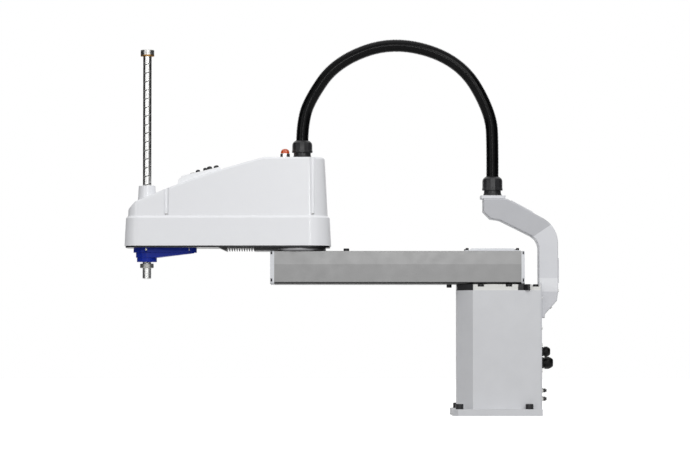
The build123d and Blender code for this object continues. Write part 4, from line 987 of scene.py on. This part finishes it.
class RobotElbow(Operator):
    """Makes the dark disc over the elbow and its finned heat plate"""

    bl_idname = "robot_dress.elbow"
    bl_label = "Elbow disc"

    def execute(self, context):
        sizes = settings("elbow")
        low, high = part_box("elbow_plate")
        radius = high.x - ELBOW_X
        bore = self.bore()
        edge = sizes.edge
        form = bmesh.new()
        disc = [Ring(low.z, bore), *(Ring(low.z + up * edge, radius - inward * edge) for up, inward in RIM),
                *(Ring(high.z - down * edge, radius - inward * edge) for down, inward in RIM[::-1]),
                Ring(high.z, bore)]
        turned(form, disc, Matrix.Translation((ELBOW_X, 0, 0)), sides=96, bored=True)
        last_fin = FIRST_FIN_X + sizes.fin_count * sizes.fin_pitch
        behind = ELBOW_X - bore
        web_low = high.z - sizes.web
        outlines = [
            [(low.x, high.z), (low.x + PLATE_BEVEL, low.z), (FIRST_FIN_X, low.z), (FIRST_FIN_X, high.z)],
            [(FIRST_FIN_X, high.z), (FIRST_FIN_X, web_low), (last_fin, web_low), (last_fin, high.z)],
            [(last_fin, high.z), (last_fin, low.z), (behind, low.z), (behind, high.z)],
        ]
        for outline in outlines:
            side_prism(form, outline, -PLATE_HALF_WIDTH, PLATE_HALF_WIDTH, material=1)
        self.add_fins(form, sizes, low.z, high.z)
        bmesh.ops.recalc_face_normals(form, faces=form.faces)
        plate = piece_of_form("finned_elbow_plate", form, ["elbow_metal_finish", "black_paint_finish"],
                              crease=40)
        dress(plate, "arm_2", "black_paint", "elbow_plate")
        return {"FINISHED"}

    @staticmethod
    def bore():
        """Radius of the hole that the hub passes through, read from the CAD."""
        places = [v.co for v in frame["nodes"]["elbow_plate"].data.vertices]
        return min((place.xy - Vector((ELBOW_X, 0))).length for place in places)

    @staticmethod
    def add_fins(form, sizes, low, high):
        """Fins that taper towards their tips, repeated along the arm."""
        fin = bmesh.new()
        root = sizes.fin_width / 2
        tip = root - FIN_TAPER
        side_prism(fin, [(-root, high - sizes.web), (-tip, low), (tip, low), (root, high - sizes.web)],
                   -sizes.fin_half_span, sizes.fin_half_span)
        fin = piece_of_form("fin", fin, ["black_paint_finish"])
        row = new_piece("fin_row", bpy.data.meshes.new("fin_row"))
        fins = grown(row, row_tree(), "fins", "black_paint_finish", {
            "Fin": fin, "Count": sizes.fin_count - 1, "Start": (FIRST_FIN_X + sizes.fin_pitch, 0, 0),
            "Step": (sizes.fin_pitch, 0, 0)})
        plain_faces = len(form.faces)
        form.from_mesh(fins.data)
        form.faces.ensure_lookup_table()
        for face in form.faces[plain_faces:]:
            face.material_index = 1
        bpy.data.objects.remove(fins)
        bpy.data.objects.remove(fin)


# Glands and fittings

# The domed forms stand out further than their plain solids.
GLAND_REACH = 1.15
FITTING_REACH = 1.6
COLLAR_SHARE = 0.28
NUT_TRIM = 1.06
COLLAR_TRIM = 0.9 * NUT_TRIM
# Hexagon base, body and release collar of a push-in fitting, with its bore.
FITTING_LAYERS = (
    (0, ((0, 1, 1), (0.38, 1, 1), (0.43, 0.86))),
    (1, ((0.4, 0.84), (0.78, 0.88), (0.84, 0.8), (0.84, 0.4))),
    (1, ((0.8, 0.5), (0.92, 0.5), (0.92, 0.68), (0.97, 0.7), (1, 0.64), (1, 0.42), (0.7, 0.4))),
)


def gland_layers(step):
    """Hexagon collar, domed nut with a bevelled hexagon, and the closed seal in its mouth; step is a
    millimetre as a share of the length."""
    nut_foot = COLLAR_SHARE + step
    return (
        (0, ((0, 0.92, COLLAR_TRIM), (0.9 * COLLAR_SHARE, 0.92, COLLAR_TRIM), (COLLAR_SHARE, 0.84))),
        (0, ((0.95 * COLLAR_SHARE, 0.8), (nut_foot, 0.8), (nut_foot, 0.93, NUT_TRIM),
             (nut_foot + step, 1, NUT_TRIM), (0.66, 1, NUT_TRIM), (0.72, 0.93, NUT_TRIM), (0.84, 0.83),
             (0.95, 0.68), (1, 0.56), (1, 0.46), (0.9, 0.44))),
        (1, ((0.7, 0.43), (0.955, 0.43), (0.975, 0.36), (0.975, 0.12), (0.93, 0.1))),
    )


class RobotGlands(Operator):
    """Makes the cable glands and air fittings behind the column"""

    bl_idname = "robot_dress.glands"
    bl_label = "Glands and fittings"

    def execute(self, context):
        form = bmesh.new()
        for place, radius, length in self.behind_panel("rear_cable_glands", GLAND_REACH):
            layered(form, place, radius, length, gland_layers(MM / length))
        glands = piece_of_form("domed_glands", form, ["gland_nylon_finish", "belt_rubber_finish"])
        dress(glands, "base", "black_plastic", "rear_cable_glands")
        form = bmesh.new()
        for place, radius, length in self.behind_panel("rear_air_fittings", FITTING_REACH):
            layered(form, place, radius, length, FITTING_LAYERS)
        fittings = piece_of_form("push_in_fittings", form,
                                 ["machined_steel_finish", "black_plastic_finish"])
        dress(fittings, "base", "black_plastic", "rear_air_fittings")
        return {"FINISHED"}

    @staticmethod
    def behind_panel(node, reach):
        """Place, radius and length of each solid of a node behind the rear panel, lengthened by a factor."""
        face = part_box("base_rear_panel")[1].x
        for points in loose_solids(node):
            low = points.min(0)
            high = points.max(0)
            middle = (low + high) / 2
            place = facing(Vector((face, middle[1], middle[2])), (1, 0, 0))
            yield place, (high[1] - low[1]) / 2, reach * (high[0] - face)


# Duct glands

# Heights and radii, in millimetres, of the neck and of the nut's lower half above the gland's foot, and
# of the nut's upper half from the gland's top.
NECK_RINGS = ((0, 12.5), (0, 22.2), (1.2, 22.2), (4.5, 20.2), (9.5, 19.6), (13, 19.6), (13, 12.5))
NUT_LOW_RINGS = ((12.2, 12.5), (12.2, 22.6), (12.9, 23.9), (17.2, 23.9), (17.9, 23.2))
NUT_HIGH_RINGS = ((-9.5, 23.2), (-5, 21.8), (-1.6, 18.6), (0, 16), (0, 12.5))
NUT_FACETS = 14
DUCT_GLANDS = (("front_duct_gland", "arm_2"), ("rear_duct_gland", "base"))


def rings_from(level, rows):
    """Rings of heights and radii in millimetres, from a level."""
    return [Ring(level + height * MM, radius * MM) for height, radius in rows]


class RobotDuctGlands(Operator):
    """Makes the faceted glands at both ends of the duct"""

    bl_idname = "robot_dress.duct_glands"
    bl_label = "Duct glands"

    def execute(self, context):
        for node, body in DUCT_GLANDS:
            low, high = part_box(node)
            place = Matrix.Translation(((low.x + high.x) / 2, 0, low.z))
            form = bmesh.new()
            turned(form, rings_from(0, NECK_RINGS), place, sides=48, bored=True)
            nut = rings_from(0, NUT_LOW_RINGS) + rings_from(high.z - low.z, NUT_HIGH_RINGS)
            turned(form, nut, place, sides=NUT_FACETS, bored=True)
            bmesh.ops.recalc_face_normals(form, faces=form.faces)
            gland = piece_of_form("faceted_" + node, form, ["black_plastic_finish"], crease=20)
            dress(gland, body, "black_plastic", node)
        return {"FINISHED"}


# Deck on the column

DECK_HEIGHT = 5.2 * MM
DECK_WIDTH = 12.0 * MM
DECK_ROUNDING = 0.5 * MM
SCREW_POCKET = 7.6 * MM


class RobotDeck(Operator):
    """Makes the raised strips between the screws on the column's top plate"""

    bl_idname = "robot_dress.deck"
    bl_label = "Column deck"

    def execute(self, context):
        low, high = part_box("base_top_flange")
        block_start, block_end = (corner.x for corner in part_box("j1_stop_blocks"))
        screws = sorted({round(s.foot.x, 4) for s in round_solids("top_flange_bolts", UP)})
        pockets = [(x - SCREW_POCKET, x + SCREW_POCKET) for x in screws] + [(block_start, block_end)]
        edges = sorted([low.x, high.x, *(edge for pocket in pockets for edge in pocket)])
        form = bmesh.new()
        for start, end in zip(edges[::2], edges[1::2]):
            self.strips(form, start, end, low, high)
        self.strips(form, block_start, block_end, low, high, material=1)
        bmesh.ops.recalc_face_normals(form, faces=form.faces)
        deck = piece_of_form("column_deck", form, ["flange_paint_finish", "black_paint_finish"], crease=30)
        dress(deck, "base", "cast_paint")
        return {"FINISHED"}

    @staticmethod
    def strips(form, start, end, low, high, material=0):
        """Adds the strips at both sides of the plate, from one place along it to another."""
        top = high.z + DECK_HEIGHT
        outline = [(start, high.z), (end, high.z), (end, top - DECK_ROUNDING), (end - DECK_ROUNDING, top),
                   (start + DECK_ROUNDING, top), (start, top - DECK_ROUNDING)]
        side_prism(form, outline, low.y, low.y + DECK_WIDTH, material)
        side_prism(form, outline, high.y - DECK_WIDTH, high.y, material)


# Fittings of the sloping panel

BUTTON_REACH = 1.3  # the rounded button stands out further than its plain solid
# Steel collar, domed body and the release ring round the bore.
PANEL_FITTING_LAYERS = (
    (1, ((0, 0.86), (0.16, 0.86))),
    (0, ((0.12, 0.97), (0.2, 1), (0.5, 1), (0.68, 0.95), (0.82, 0.84), (0.92, 0.68), (0.92, 0.5),
         (0.7, 0.48))),
    (0, ((0.6, 0.47), (0.97, 0.47), (1, 0.42), (1, 0.3), (0.5, 0.28))),
)
STEM_SHARE = 0.96
# The crown's height as a share of the button's radius or, where that is less, of its length.
CROWN_OF_RADIUS = 0.7
CROWN_OF_LENGTH = 0.6
CROWN_STEPS = (0, 0.2, 0.4, 0.6, 0.8, 0.95)


class RobotPanelParts(Operator):
    """Makes the domed air fittings and the brake release button of the sloping panel"""

    bl_idname = "robot_dress.panel_parts"
    bl_label = "Panel fittings"

    def execute(self, context):
        form = bmesh.new()
        for solid in round_solids("panel_air_fittings", UP):
            layered(form, facing(solid.foot, solid.axis), solid.radius, solid.length, PANEL_FITTING_LAYERS)
        fittings = piece_of_form("domed_air_fittings", form,
                                 ["black_plastic_finish", "machined_steel_finish"])
        dress(fittings, "arm_2", "black_plastic", "panel_air_fittings")
        form = bmesh.new()
        button = round_solids("brake_release_button", UP)[0]
        self.button(form, facing(button.foot, button.axis), button.radius, BUTTON_REACH * button.length)
        cap = piece_of_form("domed_button", form, ["black_plastic_finish"])
        dress(cap, "brake_button", "black_plastic", "brake_release_button")
        return {"FINISHED"}

    @staticmethod
    def button(form, place, radius, length):
        """Stem and the rounded cap that a finger presses."""
        crown = min(CROWN_OF_RADIUS * radius, CROWN_OF_LENGTH * length)
        arc = [Ring(length - crown + crown * sin(pi / 2 * step), radius * cos(pi / 2 * step))
               for step in CROWN_STEPS]
        turned(form, [Ring(0, STEM_SHARE * radius), *arc], place)


# Stage

MIDDLE = (-0.35, 0, 0.4)
WHITE = (1, 1, 1, 1)
MATT = 0.9
FLOOR_GREY = (0.42, 0.42, 0.42, 1)
FLOOR_REACH = 7.0
FLOOR_HEIGHT = -0.2 * MM  # just under the robot's foot
CARD_BLACK = (0.02, 0.02, 0.022, 1)
CARD_HEIGHT = 3.6
SENSOR_WIDTH = 36  # in millimetres
FARTHEST_SEEN = 50
# Name, place and width of each card that steel and the duct reflect.
CARDS = (("left_card", (-3.6, 1.4), 9.0), ("right_card", (2.9, 1.0), 9.4))
# Name, place and size of each lamp; its power is a setting.
LAMPS = (
    ("key", (1.0, -2.8, 2.2), 1.8),
    ("front", (-0.25, -5.2, 1.3), 0.9),
    ("fill", (-2.6, -2.4, 1.1), 1.2),
    ("top", (-0.5, -0.6, 3.4), 2.4),
)


def add_lamp(name, place, size, power):
    """Round lamp that looks at the robot's middle."""
    data = bpy.data.lights.new(name, "AREA")
    data.shape = "DISK"
    data.size = size
    data.energy = power
    made = bpy.data.objects.new(name, data)
    made.location = place
    made.rotation_euler = (Vector(MIDDLE) - made.location).to_track_quat("-Z", "Y").to_euler()
    made.visible_camera = False
    bpy.context.scene.collection.objects.link(made)


def add_sheet(name, corners, material):
    """Flat sheet of the stage."""
    mesh = bpy.data.meshes.new(name)
    mesh.from_pydata(corners, [], [(0, 1, 2, 3)])
    sheet = new_piece(name, mesh, [material])
    return sheet


def add_card(name, place, width):
    """Upright card across X that only reflections see."""
    x, y = place
    near = y - width / 2
    far = y + width / 2
    card = add_sheet(name, [(x, near, 0), (x, far, 0), (x, far, CARD_HEIGHT), (x, near, CARD_HEIGHT)],
                     "studio_card")
    card.visible_camera = False
    card.visible_diffuse = False
    card.visible_shadow = False


def seen_directly(tree):
    """One on rays from the camera, a mirror or glass, and nought on all others."""
    path = tree.nodes.new("ShaderNodeLightPath").outputs
    seen = calculate(tree, "MAXIMUM", path["Is Camera Ray"], path["Is Glossy Ray"])
    return calculate(tree, "MAXIMUM", seen, path["Is Transmission Ray"])


def set_world(ambient):
    """White where it is seen, and soft grey light everywhere else."""
    world = bpy.data.worlds.new("studio")
    world.use_nodes = True
    tree = world.node_tree
    background = tree.nodes["Background"]
    background.inputs["Color"].default_value = WHITE
    strength = mapped(tree, seen_directly(tree), NONE_TO_ALL, (ambient, 1.0))
    fill(tree, background.inputs["Strength"], strength)
    bpy.context.scene.world = world


def stage_materials(glow):
    """White floor that the camera sees lit through, apart from the robot's shadow, and the black card."""
    floor, shader = principled("studio_floor", {
        "Base Color": FLOOR_GREY, "Roughness": MATT, "Specular IOR Level": 0.1, "Emission Color": WHITE})
    tree = floor.node_tree
    strength = mapped(tree, seen_directly(tree), NONE_TO_ALL, (0.0, glow))
    fill(tree, shader.inputs["Emission Strength"], strength)
    principled("studio_card", {"Base Color": CARD_BLACK, "Roughness": MATT})


def add_camera(stage):
    data = bpy.data.cameras.new("camera")
    data.lens = stage.lens
    data.sensor_width = SENSOR_WIDTH
    data.clip_end = FARTHEST_SEEN
    camera = bpy.data.objects.new("camera", data)
    camera.location = stage.camera_place
    camera.rotation_euler = (pi / 2 + stage.camera_pitch, 0, 0)
    bpy.context.scene.collection.objects.link(camera)
    bpy.context.scene.camera = camera


class RobotStage(Operator):
    """Sets the floor, the lamps, the cards that steel reflects, and the camera"""

    bl_idname = "robot_dress.stage"
    bl_label = "Stage"

    def execute(self, context):
        stage = settings("stage")
        context.scene.view_settings.view_transform = "Standard"
        set_world(stage.ambient)
        stage_materials(stage.floor_glow)
        reach = FLOOR_REACH
        corners = [(x, y, FLOOR_HEIGHT) for x, y in ((-reach, -reach), (reach, -reach), (reach, reach),
                                                     (-reach, reach))]
        add_sheet("studio_floor", corners, "studio_floor")
        for name, place, width in CARDS:
            add_card(name, place, width)
        for name, place, size in LAMPS:
            add_lamp(name + "_lamp", place, size, getattr(stage, name + "_power"))
        add_camera(stage)
        return {"FINISHED"}


# Add-on

SETTINGS = {"paint": PaintSettings, "duct": DuctSettings, "shaft": ShaftSettings, "elbow": ElbowSettings,
            "screws": ScrewSettings, "stage": StageSettings}
OPERATORS = [RobotFinishes, RobotDuct, RobotShaft, RobotScrews, RobotElbow, RobotGlands, RobotDuctGlands,
             RobotDeck, RobotPanelParts, RobotStage]


class RobotPanel(Panel):
    """Lists the steps that dress the robot, and their settings"""

    bl_idname = "VIEW3D_PT_robot_dress"
    bl_label = "Robot"
    bl_space_type = "VIEW_3D"
    bl_region_type = "UI"
    bl_category = "Robot"

    def draw(self, context):
        for operator in OPERATORS:
            self.layout.operator(operator.bl_idname)
        for name, group in SETTINGS.items():
            box = self.layout.box()
            box.label(text=name.capitalize())
            for setting in group.__annotations__:
                box.prop(settings(name), setting)


def register():
    for made in [*SETTINGS.values(), *OPERATORS, RobotPanel]:
        bpy.utils.register_class(made)
    for name, group in SETTINGS.items():
        setattr(bpy.types.Scene, "robot_" + name, PointerProperty(type=group))


def unregister():
    for name in SETTINGS:
        delattr(bpy.types.Scene, "robot_" + name)
    for made in [RobotPanel, *OPERATORS[::-1], *SETTINGS.values()]:
        bpy.utils.unregister_class(made)


def main():
    register()
    bpy.ops.robot_dress.finishes()
    bpy.ops.robot_dress.duct()
    bpy.ops.robot_dress.shaft()
    bpy.ops.robot_dress.screws()
    bpy.ops.robot_dress.elbow()
    bpy.ops.robot_dress.glands()
    bpy.ops.robot_dress.duct_glands()
    bpy.ops.robot_dress.deck()
    bpy.ops.robot_dress.panel_parts()
    bpy.ops.robot_dress.stage()


if __name__ == "__main__":
    main()
